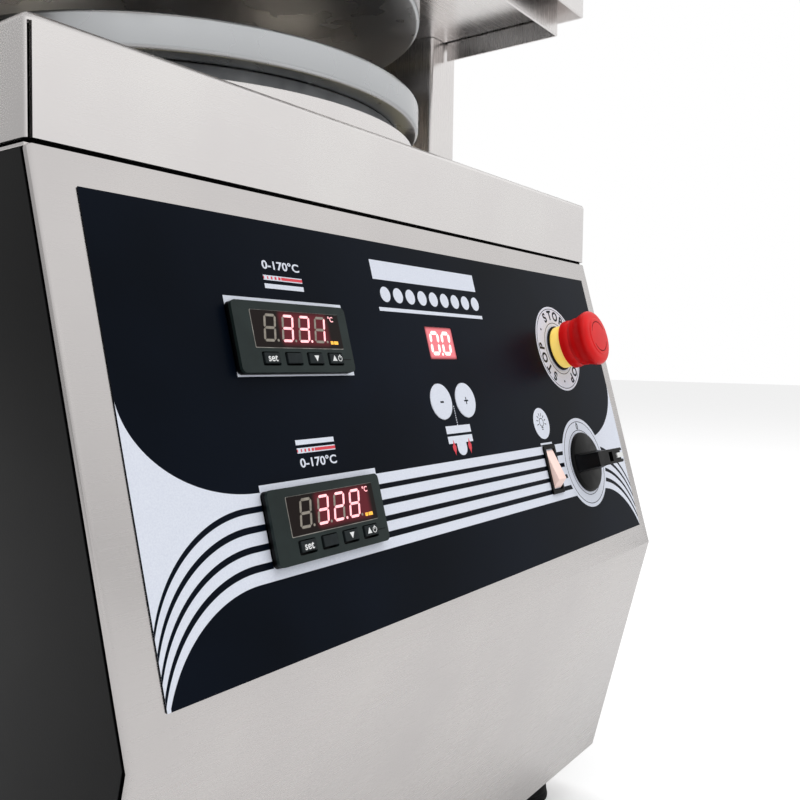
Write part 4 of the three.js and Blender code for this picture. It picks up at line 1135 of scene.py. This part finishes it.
COLUMN = {"radius": 12, "stub": 8, "stub_length": 36}
for node in ("tie_column_left", "tie_column_right"):
    low, high = (corner.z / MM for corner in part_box(node))
    r, stub = COLUMN["radius"], COLUMN["stub"]
    foot, head_end = low + COLUMN["stub_length"], high - COLUMN["stub_length"]
    thread = [(stub - 0.45 * (i % 2), low + 1.2 + i) for i in range(int(COLUMN["stub_length"]) - 2)]
    crown_thread = [(stub - 0.45 * (i % 2), head_end + 1 + i) for i in range(int(COLUMN["stub_length"]) - 2)]
    profile = ([(0, low), (stub - 1, low)] + thread + [(stub, foot), (r - 0.8, foot), (r, foot + 0.8),
               (r, head_end - 0.8), (r - 0.8, head_end),
                                                       (stub, head_end)] + crown_thread + [(stub - 1, high),
                                                                                           (0, high)])
    column = turned(node + "_ground", profile, at_plan(node) @ UPRIGHT, hard_chrome, "casing",
                    48)
    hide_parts(node)
column_x = middle_of("tie_column_right").x
NUT = {"radius": 11.6, "washer": 14.2, "height": 13}
for name, height, facing in (("crown_nuts", crown_low.z + CROWN_PLATE, 1),
                             ("bed_nuts", bed_high.z - CROWN_PLATE, -1)):
    nut = hexagon_bolt(NUT["radius"], NUT["washer"], NUT["height"])
    repeated(name, on_points, nut, {"Facing": (0, 0, facing)}, Matrix(), zinc_bolt, "casing",
             [(side * column_x, 0, height + facing * 0.3 * MM) for side in (-1, 1)])

# ---------------------------------------------------------------- gear motor, coupling and drive screw
# A worm gearbox in a cast housing hangs under the bed, with a finned induction motor flanged to its
# back. A sleeve coupling turns the trapezoidal screw, 24 mm across with a 10 mm lead.
# Casting enamel: blue-grey, over the sand-cast texture.
machine_enamel, tree, shader = surface("blue_grey_casting_enamel", "4F5C64", 0.4,
                                       {"Specular IOR Level": 0.45})
bump(tree, shader, pattern(tree, 1.8, 3.0), 0.06)
tinted(tree, shader, pattern(tree, 30, 3.0), "48545C", "57646C")
finished("gearbox", machine_enamel, 2.0, 3)
gear_low, gear_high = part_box("gearbox")
gear_cover = box_mesh((-42 * MM, gear_low.y - 3.5 * MM, gear_low.z + 16 * MM),
                      (42 * MM, gear_low.y + 1 * MM, gear_high.z - 24 * MM))
soften(link("gearbox_cover", gear_cover, machine_enamel, "casing"), 1.5, 3)
cover_bolts = [(x * MM, gear_low.y - 3.5 * MM, z) for x in (-35, 35)
               for z in (gear_low.z + 23 * MM, (gear_low.z + gear_high.z) / 2, gear_high.z - 31 * MM)]
repeated("gearbox_cover_bolts", on_points, hexagon_bolt(4.6, 5.8, 5), {"Facing": (0, -1, 0)}, Matrix(),
         zinc_bolt,
         "casing", cover_bolts)

motor_low, motor_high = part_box("motor")
MOTOR = {"x": -45, "z": 195, "core": 51, "flange": 60, "cowl": 53, "fins": 44, "fin_height": 5, "fin": 1.6}
motor_axis = Matrix.Translation((MOTOR["x"] * MM, 0, MOTOR["z"] * MM)) @ LYING
start, end = motor_low.y / MM, motor_high.y / MM
core = [(0, start), (MOTOR["flange"], start), (MOTOR["flange"], start + 10),
        (MOTOR["flange"] - 1.5, start + 11.5),
        (MOTOR["core"] + 1, start + 12), (MOTOR["core"], start + 14), (MOTOR["core"], end - 46),
        (0, end - 46)]
motor_core = turned("motor_housing", core, motor_axis, machine_enamel, "casing", 96)
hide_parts("motor")
fin_length = (end - 48) - (start + 16)
fin = plate([rounded(-0.5, -MOTOR["fin"] / 2, MOTOR["fin_height"], MOTOR["fin"] / 2, 0.6, 3)], fin_length)
fin.transform(UPRIGHT @ Matrix.Translation((0, 0, start + 16)))
repeated("motor_fins", round_a_circle, fin, {"Count": MOTOR["fins"], "Radius": MOTOR["core"] * MM},
         motor_axis @
         UPRIGHT.inverted(), machine_enamel, "casing")
cowl = [(MOTOR["cowl"] - 1.5, end - 47), (MOTOR["cowl"] + 1.6, end - 47), (MOTOR["cowl"] + 2, end - 46),
        (MOTOR["cowl"], end - 6),
        (MOTOR["cowl"] - 1.8, end - 2), (MOTOR["cowl"] - 5, end - 0.4), (MOTOR["cowl"] - 8, end), (12, end),
        (12, end - 1.5),
        (MOTOR["cowl"] - 8, end - 1.5), (MOTOR["cowl"] - 3, end - 4), (MOTOR["cowl"] - 1.5, end - 8)]
turned("motor_fan_cowl", cowl, motor_axis, black_moulding, "casing", 64)
turned("motor_shaft_end", [(0, end - 46), (8, end - 46), (8, end - 2), (7, end - 1), (0, end - 1)],
       motor_axis, zinc_bolt,
       "casing", 32)
blade = plate([[(0, -0.8), (28, -0.8), (28, 0.8), (0, 0.8)]], 22)
blade.transform(UPRIGHT @ Matrix.Translation((0, 0, end - 40)))
repeated("motor_fan", round_a_circle, blade, {"Count": 9, "Radius": 9 * MM}, motor_axis @ UPRIGHT.inverted(),
         black_moulding, "casing")
box_low = Vector((MOTOR["x"] - 31, start + 46, MOTOR["z"] + MOTOR["core"] + 1)) * MM
box_high = Vector((MOTOR["x"] + 31, start + 114, MOTOR["z"] + 81)) * MM
soften(link("motor_terminal_box", box_mesh(box_low, box_high), machine_enamel, "casing"),
       2.5, 3)
screws("motor_terminal_box_screws", [(x, y, box_high.z) for x in (box_low.x + 7 * MM, box_high.x - 7 * MM)
                                     for y in (box_low.y + 7 * MM, box_high.y - 7 * MM)],
       (0, 0, 1), zinc_bolt, "casing", 3.2)


def threaded(root, crest, low, high, lead, steps=32, rows_per_turn=12):
    """A screw in metres with a trapezoidal thread of one lead in mm, between two heights in mm."""
    count = int((high - low) / lead * rows_per_turn)
    rows = [[(0, 0, low * MM)]]
    for k in range(count + 1):
        height = low + (high - low) * k / count
        row = []
        for i in range(steps):
            phase = (height / lead - i / steps) % 1.0
            flank = min(max((abs(phase - 0.5) - 0.17) / 0.13, 0.0), 1.0)
            radius = (crest + (root - crest) * flank) * MM
            angle = math.tau * i / steps
            row.append((radius * math.cos(angle), radius * math.sin(angle), height * MM))
        rows.append(row)
    return skin("threaded", rows + [[(0, 0, high * MM)]])


SCREW = {"radius": 12, "root": 9.6, "lead": 10, "shoulder": 300.3}
screw_low, screw_high = (corner.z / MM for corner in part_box("drive_screw"))
turned("drive_screw_journal", [(0, screw_low), (9.2, screw_low), (10, screw_low + 0.8),
                               (10, SCREW["shoulder"]),
                               (11.8, SCREW["shoulder"]), (11.8, 308), (0, 308)],
       UPRIGHT, hard_chrome, BODY_OF["drive_screw"], 40)
thread = link("drive_screw_thread", threaded(SCREW["root"], SCREW["radius"], 307, screw_high,
                                             SCREW["lead"]), hard_chrome,
              BODY_OF["drive_screw"], 30)
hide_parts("drive_screw")
finished("shaft_coupling", frame_paint, 0.8, 2)
couple_low, couple_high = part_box("shaft_coupling")
screws("coupling_grub_screws", [(couple_high.x, 0, couple_low.z + z * MM) for z in (9, 28)], (1, 0, 0),
       zinc_bolt,
       BODY_OF["shaft_coupling"], 3)

# ---------------------------------------------------------------- crosshead and pedestal
# The crosshead slides on the columns in bronze bushes and carries the pedestal, a turned steel tube
# with a flange at each end that comes up through the deck.
# Sintered bronze: warm, fairly dull and finely grained.
bronze, tree, shader = surface("sintered_bronze", "9C6E3E", 0.4, {"Metallic": 1.0})
tinted(tree, shader, pattern(tree, 1.5), "8E6236", "AA7A48")
bump(tree, shader, pattern(tree, 0.4, 2.0), 0.01)
finished("crosshead", frame_paint, 1.0, 3)
cross_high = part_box("crosshead")[1]
for node, side in (("left", -1), ("right", 1)):
    top = cross_high.z / MM
    turned(f"guide_bush_{node}", [(12.4, top + 0.1), (15.2, top + 0.1), (15.2, top + 2.6), (14.8, top + 3),
                                  (12.8, top + 3),
                                  (12.4, top + 2.6)], Matrix.Translation((side * column_x, 0, 0)) @ UPRIGHT,
           bronze,
           BODY_OF["crosshead"], 48)
pedestal_low, pedestal_high = (corner.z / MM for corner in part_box("pedestal"))
pedestal = turned("pedestal_turned", [
    (40, pedestal_low), (59.2, pedestal_low), (60, pedestal_low + 0.8), (60, pedestal_low + 7.2),
                                      (59.2, pedestal_low + 8),
    (53, pedestal_low + 8), (51, pedestal_low + 8.8), (50, pedestal_low + 11), (50, pedestal_high - 11),
    (51, pedestal_high - 8.8), (53, pedestal_high - 8), (99, pedestal_high - 8), (100, pedestal_high - 7),
    (100, pedestal_high - 1), (99, pedestal_high), (40, pedestal_high)], UPRIGHT, frame_paint,
                  BODY_OF["pedestal"],
    96)
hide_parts("pedestal")
foot_bolt = hexagon_bolt(3, 3.4, 4)
repeated("pedestal_foot_bolts", round_a_circle, foot_bolt, {"Count": 8, "Radius": 55.6 * MM},
         Matrix.Translation((0, 0, (pedestal_low + 8) * MM)), zinc_bolt, BODY_OF["pedestal"])

# ---------------------------------------------------------------- heated plates
# Each plate is a 20 mm disc of turned and polished aluminium over a cast-in heater and a calcium
# silicate board in a stainless band. Screws from behind hold the stack, so the face is clear.
# Turned aluminium: bright, with rings left by the tool.
TOOL_FEED = 1.2
turned_aluminium, tree, shader = surface("turned_aluminium_plate", "C3C5C7", 0.26, {"Metallic": 1.0})
place = add(tree, "ShaderNodeTexCoord")
split = add(tree, "ShaderNodeSeparateXYZ", None, {"Vector": place.outputs["Object"]})
flat = add(tree, "ShaderNodeCombineXYZ", None, {"X": split.outputs["X"], "Y": split.outputs["Y"]})
reach = add(tree, "ShaderNodeVectorMath", {"operation": "LENGTH"}, {0: flat.outputs[0]})
tool_marks = add(tree, "ShaderNodeMath", {"operation": "MULTIPLY", 1: math.tau / (TOOL_FEED * MM)},
                 {0: reach.outputs["Value"]})
tool_wave = add(tree, "ShaderNodeMath", {"operation": "SINE"}, {0: tool_marks.outputs[0]})
bump(tree, shader, tool_wave.outputs[0], 0.004)
uneven(tree, shader, pattern(tree, 45, 3.0), 0.2, 0.36)
# Sand-cast aluminium: dull grey, with a rough skin.
cast_heater, tree, shader = surface("cast_aluminium_heater", "7C7E80", 0.55, {"Metallic": 0.9})
bump(tree, shader, pattern(tree, 1.4, 3.0), 0.08)
tinted(tree, shader, pattern(tree, 20), "6E7073", "8A8C8E")
# Calcium silicate board: cream and chalky.
silicate_board, tree, shader = surface("calcium_silicate_board", "D9CFB4", 0.9, {"Specular IOR Level": 0.2})
bump(tree, shader, pattern(tree, 0.8, 4.0), 0.08)
tinted(tree, shader, pattern(tree, 5, 4.0), "CEC3A6", "E2D9C0")


def disc(node, name, edge, material, slot, steps=160):
    """A node's disc, turned with an edge of a radius in mm."""
    low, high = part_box(node)
    radius, bottom, top = high.x / MM, low.z / MM, high.z / MM
    bend = [(radius - edge + edge * math.sin(math.pi / 2 * i / 4),
             bottom + edge - edge * math.cos(math.pi / 2 * i / 4))
            for i in range(5)]
    over = [(r, top + bottom - z) for r, z in reversed(bend)]
    piece = turned(name, [(0, bottom), (radius * 0.5, bottom)] + bend + over + [(radius * 0.5, top),
                                                                                (0, top)], UPRIGHT,
                   material, BODY_OF[node], steps)
    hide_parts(node)


for place_name in ("lower", "upper"):
    disc(place_name + "_platen", place_name + "_plate_turned", 2.5, turned_aluminium, "plate_aluminium")
    disc(place_name + "_heater", place_name + "_heater_casting", 1.2, cast_heater, "heater_aluminium", 96)
    board = place_name + "_insulation"
    disc(board, board + "_disc", 0.6, silicate_board, "insulation_board", 96)
    low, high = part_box(board)
    turned(place_name + "_board_band", [
        (high.x / MM - 0.1, low.z / MM + 0.3), (high.x / MM + 0.7, low.z / MM + 0.3),
        (high.x / MM + 0.9, low.z / MM + 0.6), (high.x / MM + 0.9, high.z / MM - 0.6),
        (high.x / MM + 0.7, high.z / MM - 0.3), (high.x / MM - 0.1, high.z / MM - 0.3)], UPRIGHT,
           stainless_across,
        BODY_OF[board], 96)
spindle_low, spindle_high = (corner.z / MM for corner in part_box("adjust_spindle"))
SPINDLE = {"shoulder": 725, "radius": 15, "thread": 8, "lead": 4}
spindle = turned("adjust_spindle_turned", [
    (0, spindle_low), (79, spindle_low), (80, spindle_low + 1), (80, spindle_low + 7), (79, spindle_low + 8),
    (17, spindle_low + 8), (15, spindle_low + 10), (15, SPINDLE["shoulder"] - 1), (14, SPINDLE["shoulder"]),
    (0, SPINDLE["shoulder"])], UPRIGHT, hard_chrome, BODY_OF["adjust_spindle"], 64)
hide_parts("adjust_spindle")
link("adjust_spindle_thread", threaded(6.6, SPINDLE["thread"], SPINDLE["shoulder"] - 1, spindle_high,
                                       SPINDLE["lead"], 24),
     hard_chrome, BODY_OF["adjust_spindle"], 30)
repeated("upper_plate_screws", round_a_circle, socket_screw(5), {"Count": 6, "Radius": 62 * MM},
         Matrix.Translation((0, 0, (spindle_low + 8) * MM)), zinc_bolt, BODY_OF["adjust_spindle"])

# ---------------------------------------------------------------- adjusting knob and its scale
# A six-lobed knob in black phenolic with a white line, turning over a printed scale on the head that
# shows the dough's thickness.
knob_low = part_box("adjust_knob")[0].z / MM
KNOB = {"neck": 21.5, "lobes": 6, "flute": 3.4, "dish": 28.4}
# Moulded phenolic: black and fairly glossy.
phenolic, tree, shader = surface("moulded_phenolic_black", "0B0B0C", 0.3, {"Specular IOR Level": 0.5})
uneven(tree, shader, pattern(tree, 12, 3.0), 0.24, 0.38)
bump(tree, shader, pattern(tree, 2.5, 2.0), 0.01)


def lobed_knob():
    """The knob's mesh: rows of points whose reach dips into round flutes between the lobes."""
    rows = [(KNOB["neck"] - 1, 0, 0), (KNOB["neck"], 1, 0), (KNOB["neck"], 6, 0), (29, 7.2, 1),
            (31.2, 8.4, 1),
            (32, 10.5, 1), (32, 24.5, 1), (31.4, 26.8, 1), (29.8, 28.4, 0.95), (27.4, 29.2, 0.7),
            (24, 29.4, 0.3),
            (20, 29.3, 0), (17.5, 28.7, 0), (15, KNOB["dish"], 0)]
    steps = 144
    rings = [[(0, 0, knob_low * MM)]]
    for radius, height, depth in rows:
        made = []
        for i in range(steps):
            angle = math.tau * i / steps
            dip = max(0.0, math.cos(angle * KNOB["lobes"])) ** 1.5
            reach = (radius - KNOB["flute"] * dip * depth) * MM
            made.append((reach * math.cos(angle), reach * math.sin(angle), (knob_low + height) * MM))
        rings.append(made)
    return skin("lobed_knob", rings + [[(0, 0, (knob_low + KNOB["dish"]) * MM)]])


knob = link("adjust_knob_phenolic", lobed_knob(), phenolic, BODY_OF["adjust_knob"], 50)
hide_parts("adjust_knob")
line_mesh = plate([bar(16, -0.8, 23.4, 0.8)], 0.3)
line_mesh.transform(Matrix.Rotation(math.radians(-90), 4, "Z"))
line_mesh.transform(UPRIGHT @ Matrix.Translation((0, 0, knob_low + 29.15)))
link("adjust_knob_line", line_mesh, key_legend, BODY_OF["adjust_knob"])
head_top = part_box("head_cover")[1].z
# Screen-printed black ink, rather dull.
black_ink, tree, shader = surface("screen_printed_black", "101012", 0.5, {"Specular IOR Level": 0.3})
tinted(tree, shader, pattern(tree, 1), "0C0C0E", "151517")
tick = plate([bar(0, -0.6, 5, 0.6)], 0.06)
tick.transform(UPRIGHT)
repeated("knob_scale_ticks", round_a_circle, tick, {"Count": 40, "Radius": 36 * MM},
         Matrix.Translation((0, 0, head_top)), black_ink, "casing")
figures = []
for number in range(10):
    figure = words(str(number), 7, 0.06, 0.3)
    figure.transform(Matrix.Rotation(-math.tau * number / 10, 4, "Z") @ Matrix.Translation((0, -48, 0)))
    figures.append((figure, Matrix.Rotation(0, 4, "Z")))
scale = joined("knob_scale_figures", figures)
scale.transform(Matrix.Translation((0, 0, head_top)) @ UPRIGHT)
link("knob_scale_figures", scale, black_ink, "casing")

# ---------------------------------------------------------------- chamber lamp
# A sealed lamp under the head at the back: a frosted glass lens in a grey silicone seal.
# Frosted glass over a lit lamp, warm white.
frosted_glass, tree, shader = surface("frosted_lamp_glass", "F2F0E6", 0.35, {
    "Specular IOR Level": 0.5, "Emission Color": linear("FFF3E0"), "Emission Strength": 5.0})
tinted(tree, shader, pattern(tree, 1.5), "EAE8DD", "F8F6EE")
finished("chamber_lamp", frosted_glass, 2.0, 4)
lamp_low, lamp_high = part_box("chamber_lamp")
seal = plate([rounded(lamp_low.x / MM - 3, -lamp_high.y / MM - 3, lamp_high.x / MM + 3,
                      -lamp_low.y / MM + 3, 6),
              rounded(lamp_low.x / MM + 0.2, -lamp_high.y / MM + 0.2, lamp_high.x / MM - 0.2,
                      -lamp_low.y / MM - 0.2, 4)], 2.4)
seal.transform(Matrix.Translation((0, 0, lamp_high.z - 2.6 * MM)) @ UPRIGHT)
soften(link("chamber_lamp_seal", seal, rubber, "casing"), 0.5, 2)

# ---------------------------------------------------------------- guard and its handle
# A bent stainless shield with long slots, which slides down on the head's runners. Its handle is a
# black moulded bar on two posts, held by dome nuts from inside.
finished("guard_shield", stainless_upright, 0.4)
guard_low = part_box("guard_shield")[0]
handle_low, handle_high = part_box("guard_handle")
HANDLE = {"radius": 6, "post_x": 95}
handle_y = handle_low.y / MM + HANDLE["radius"]
handle_z = middle_of("guard_handle").z / MM
reach = handle_high.x / MM
profile = [(0, -reach), (3, -reach + 0.3), (5, -reach + 1.4), (6, -reach + 3.4), (6, -reach + 11),
           (5.6, -reach + 11.5),
           (5.6, -reach + 12.5), (6, -reach + 13)]
profile += [(r, -z) for r, z in reversed(profile)]
bar_piece = turned("guard_handle_bar", profile,
                   Matrix.Translation((0, handle_y * MM, handle_z * MM)) @ ACROSSWAYS, phenolic,
                   BODY_OF["guard_handle"], 40)
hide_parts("guard_handle")
for side in (-1, 1):
    post = [(0, handle_y), (4, handle_y), (4.2, handle_y + 5), (5, guard_low.y / MM - 3),
            (6.6, guard_low.y / MM - 0.8),
            (6.6, guard_low.y / MM - 0.2), (0, guard_low.y / MM - 0.2)]
    turned("guard_handle_post_" + ("left" if side < 0 else "right"), post,
           Matrix.Translation((side * HANDLE["post_x"] * MM, 0, handle_z * MM)) @ LYING, phenolic,
           BODY_OF["guard_handle"], 32)
dome_nut = lathe([(0, -0.1), (5.2, -0.1, 1), (5.2, 4, 1), (4.6, 4.4), (3.9, 6), (2.4, 7.3), (0, 7.8)], 24, 6)
repeated("guard_handle_nuts", on_points, dome_nut, {"Facing": (0, 1, 0)}, Matrix(), bright_screw,
         BODY_OF["guard_shield"],
         [(side * HANDLE["post_x"] * MM, guard_low.y + 2.1 * MM, handle_z * MM)
                       for side in (-1, 1)])

# ---------------------------------------------------------------- switchgear
# Three motor contactors, a safety relay and a terminal block clip on to one steel rail on the pan.
# Moulded polyamide: light grey and rather dull.
gear_moulding, tree, shader = surface("moulded_polyamide_light_grey", "B9BDBE", 0.5)
tinted(tree, shader, pattern(tree, 15), "B2B6B8", "C0C4C5")
bump(tree, shader, pattern(tree, 0.6, 2.0), 0.01)
rail_low, rail_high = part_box("contactor_rail")
RAIL = {"unit": 45, "pitch": 56, "first": -140, "count": 4}
rail = box_mesh((rail_low.x, rail_low.y + 12 * MM, rail_low.z),
                (rail_high.x, rail_high.y - 17 * MM, rail_low.z + 7.4 * MM))
rail_piece = soften(link("contactor_mounting_rail", rail, zinc_bolt, "casing"), 0.8, 2)
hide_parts("contactor_rail")
unit_low = rail_low.z + 7.6 * MM
unit = joined("unit", [
    (plate([rounded(0, 0, RAIL["unit"], 64, 2)], 42), Matrix()),
    (plate([rounded(2, 7, RAIL["unit"] - 2, 57, 2)], 20), Matrix.Translation((0, 0, 42.1))),
    (plate([rounded(9, 17, RAIL["unit"] - 9, 47, 2)], 14), Matrix.Translation((0, 0, 62.2)))])
unit.transform(UPRIGHT)
units = repeated("contactors", in_a_row, unit, {"Count": RAIL["count"], "Pitch": (RAIL["pitch"] * MM, 0, 0)},
                 Matrix.Translation((RAIL["first"] * MM, rail_high.y, unit_low)), gear_moulding, "casing")
soften(units, 0.8, 2)
for row, y in (("front", rail_low.y + 4 * MM), ("back", rail_high.y - 4 * MM)):
    points = [((RAIL["first"] + RAIL["pitch"] * i + 9 + 9 * j) * MM, y, unit_low + 42 * MM)
              for i in range(RAIL["count"]) for j in range(4)]
    screws("contactor_terminals_" + row, points, (0, 0, 1), zinc_bolt, "casing", 2.6)
clamp = joined("clamp", [(plate([rounded(0, 0, 5.2, 34, 0.8)], 42), Matrix())])
clamp.transform(UPRIGHT)
repeated("terminal_block", in_a_row, clamp, {"Count": 10, "Pitch": (5.5 * MM, 0, 0)},
         Matrix.Translation((90 * MM, rail_low.y + 49 * MM, unit_low)), gear_moulding, "casing")

# ---------------------------------------------------------------- rear louvres, gland and screws
# The rear panel and the head's back are pressed with louvre hoods over their slots, so that water
# runs off. The supply lead would enter by the nylon gland at the bottom.
rear_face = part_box("rear_panel")[1].y
HOOD = {"depth": 6.5, "height": 11, "over": 4}


def louvre_hood(length):
    """One hood in metres, its slot's middle at the origin and facing backwards."""
    half = length / 2 + 4
    arc = [math.pi / 2 * i / 8 for i in range(9)]
    outer = [(HOOD["depth"] * math.sin(a), HOOD["over"] + HOOD["height"] * math.cos(a) - HOOD["height"] / 2)
             for a in arc]
    inner = [((HOOD["depth"] - 1.2) * math.sin(a),
              HOOD["over"] + (HOOD["height"] - 1.2) * math.cos(a) - HOOD["height"] / 2)
             for a in arc]
    section = outer + [(HOOD["depth"], outer[-1][1] - 2)] + [(HOOD["depth"] - 1.2,
                                                              outer[-1][1] - 2)] + inner[::-1]
    stations = [(-half, 0.02), (-half + 2, 0.6), (-half + 5, 0.9), (-half + 9, 1.0)]
    stations += [(-x, s) for x, s in reversed(stations)]
    return skin("louvre_hood", [[(x * MM, y * s * MM, z * MM) for y, z in section] for x, s in stations],
                capped=True)


repeated("rear_louvres", in_a_row, louvre_hood(200), {"Count": 8, "Pitch": (0, 0, 20 * MM)},
         Matrix.Translation((-40 * MM, rear_face + 0.1 * MM, 213 * MM)), stainless_across, "casing")
repeated("head_louvres", in_a_row, louvre_hood(220), {"Count": 6, "Pitch": (0, 0, 18 * MM)},
         Matrix.Translation((0, rear_face + 0.1 * MM, 683 * MM)), stainless_across, "casing")

rear_low, rear_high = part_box("rear_panel")
points = [(side * (rear_high.x - 12 * MM), rear_face, rear_low.z + (rear_high.z - rear_low.z) * part)
          for side in (-1, 1) for part in (0.04, 0.35, 0.65, 0.96)]
points += [(x * MM, rear_face, rear_low.z + 12 * MM) for x in (-90, 0, 90)]
cover_low, cover_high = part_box("upper_rear_cover")
points += [(side * (cover_high.x - 10 * MM), rear_face, cover_low.z + (cover_high.z - cover_low.z) * part)
           for side in (-1, 1) for part in (0.1, 0.9)]
head_low, head_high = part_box("head_cover")
points += [(x * MM, rear_face, z) for x in (-222, 222) for z in (head_low.z + 14 * MM, head_high.z - 18 * MM)]
screws("rear_screws", points, (0, 1, 0), bright_screw, "casing")
for side in (-1, 1):
    points = [(side * head_high.x, y * MM, head_low.z + 12 * MM) for y in (-180, -60, 60, 180)]
    screws("head_side_screws_" + ("left" if side < 0 else "right"), points, (side, 0, 0), bright_screw,
           "casing",
           4, flush_screw)

gland_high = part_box("cable_gland")[1]
gland_axis = Matrix.Translation((middle_of("cable_gland").x, 0, middle_of("cable_gland").z)) @ LYING
face, tip = rear_face / MM, gland_high.y / MM
gland = turned("cable_gland_body", [
    (4, face - 12), (7.6, face - 12), (8, face - 11.6), (8, face + 0.4), (9.6, face + 6.4), (10, face + 7),
                                    (10, tip - 6),
    (9, tip - 3), (7.2, tip - 0.5), (6.4, tip), (4, tip)], gland_axis, black_moulding, "casing",
               40)
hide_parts("cable_gland")
nut = lathe([(8.1, 0.4), (11.2, 0.4, 1), (11.2, 7.2, 1), (10.4, 7.8), (8.1, 7.8)], 24, 6)
repeated("cable_gland_nut", on_points, nut, {"Facing": (0, 1, 0)}, Matrix(), black_moulding, "casing",
         [(middle_of("cable_gland").x, rear_face, middle_of("cable_gland").z)])

# ---------------------------------------------------------------- studio
# A plain pale floor, an even pale room that is a little darker at the back left, and one broad soft
# light above.
floor_mesh = bpy.data.meshes.new("floor")
FLOOR_HALF = 14.0
floor_mesh.from_pydata([(-FLOOR_HALF, -FLOOR_HALF, 0), (FLOOR_HALF, -FLOOR_HALF, 0),
                        (FLOOR_HALF, FLOOR_HALF, 0),
                        (-FLOOR_HALF, FLOOR_HALF, 0)], [], [(0, 1, 2, 3)])
floor = bpy.data.objects.new("floor", floor_mesh)
bpy.context.scene.collection.objects.link(floor)
# Matt white paint, which sends less light back to the steel than it shows to the lens.
floor_paint, tree, shader = surface("white_studio_floor", "E2E2E2", 0.9, {"Specular IOR Level": 0.0})
to_lens = add(tree, "ShaderNodeLightPath")
glow = add(tree, "ShaderNodeMath", {"operation": "MULTIPLY", 1: 0.3}, {0: to_lens.outputs["Is Camera Ray"]})
shader.inputs["Emission Color"].default_value = linear("FFFFFF")
tree.links.new(shader.inputs["Emission Strength"], glow.outputs[0])
floor_mesh.materials.append(floor_paint)

world = bpy.data.worlds.new("studio")
world.use_nodes = True
bpy.context.scene.world = world
tree = world.node_tree
background = tree.nodes["Background"]
direction = add(tree, "ShaderNodeTexCoord")
axes = add(tree, "ShaderNodeSeparateXYZ", None, {"Vector": direction.outputs["Generated"]})
back_left = add(tree, "ShaderNodeVectorMath", {"operation": "DOT_PRODUCT", 1: (-0.6, 0.8, 0.0)},
                {0: direction.outputs["Generated"]})
side = add(tree, "ShaderNodeMapRange", {"From Min": 0.1, "From Max": 0.8, "To Min": 0.95, "To Max": 0.52},
           {"Value": back_left.outputs["Value"]})
rise = add(tree, "ShaderNodeMapRange", {"From Min": 0.0, "From Max": 0.5, "To Min": 0.78, "To Max": 1.0},
           {"Value": axes.outputs["Z"]})
ceiling = add(tree, "ShaderNodeMapRange", {"From Min": 0.75, "From Max": 0.95, "To Min": 1.0, "To Max": 0.66},
              {"Value": axes.outputs["Z"]})
walls = add(tree, "ShaderNodeMath", {"operation": "MULTIPLY"}, {0: side.outputs[0], 1: rise.outputs[0]})
level = add(tree, "ShaderNodeMath", {"operation": "MULTIPLY"}, {0: walls.outputs[0], 1: ceiling.outputs[0]})
seen = add(tree, "ShaderNodeLightPath")
strength = add(tree, "ShaderNodeMath", {"operation": "MAXIMUM"},
               {0: level.outputs[0], 1: seen.outputs["Is Camera Ray"]})
tree.links.new(background.inputs["Strength"], strength.outputs[0])
background.inputs["Color"].default_value = (1, 1, 1, 1)


def soft_light(name, place, aim, size, power):
    """A square soft box."""
    lamp = bpy.data.lights.new(name, "AREA")
    lamp.shape = "SQUARE"
    lamp.size = size
    lamp.energy = power
    obj = bpy.data.objects.new(name, lamp)
    bpy.context.scene.collection.objects.link(obj)
    obj.location = place
    obj.rotation_mode = "QUATERNION"
    obj.rotation_quaternion = (Vector(aim) - Vector(place)).to_track_quat("-Z", "Y")
    obj.visible_glossy = False
    return obj


soft_light("overhead_softbox", (0.3, -0.2, 3.2), (0, 0, 0), 3.0, 60)
bpy.context.scene.view_settings.view_transform = "Standard"
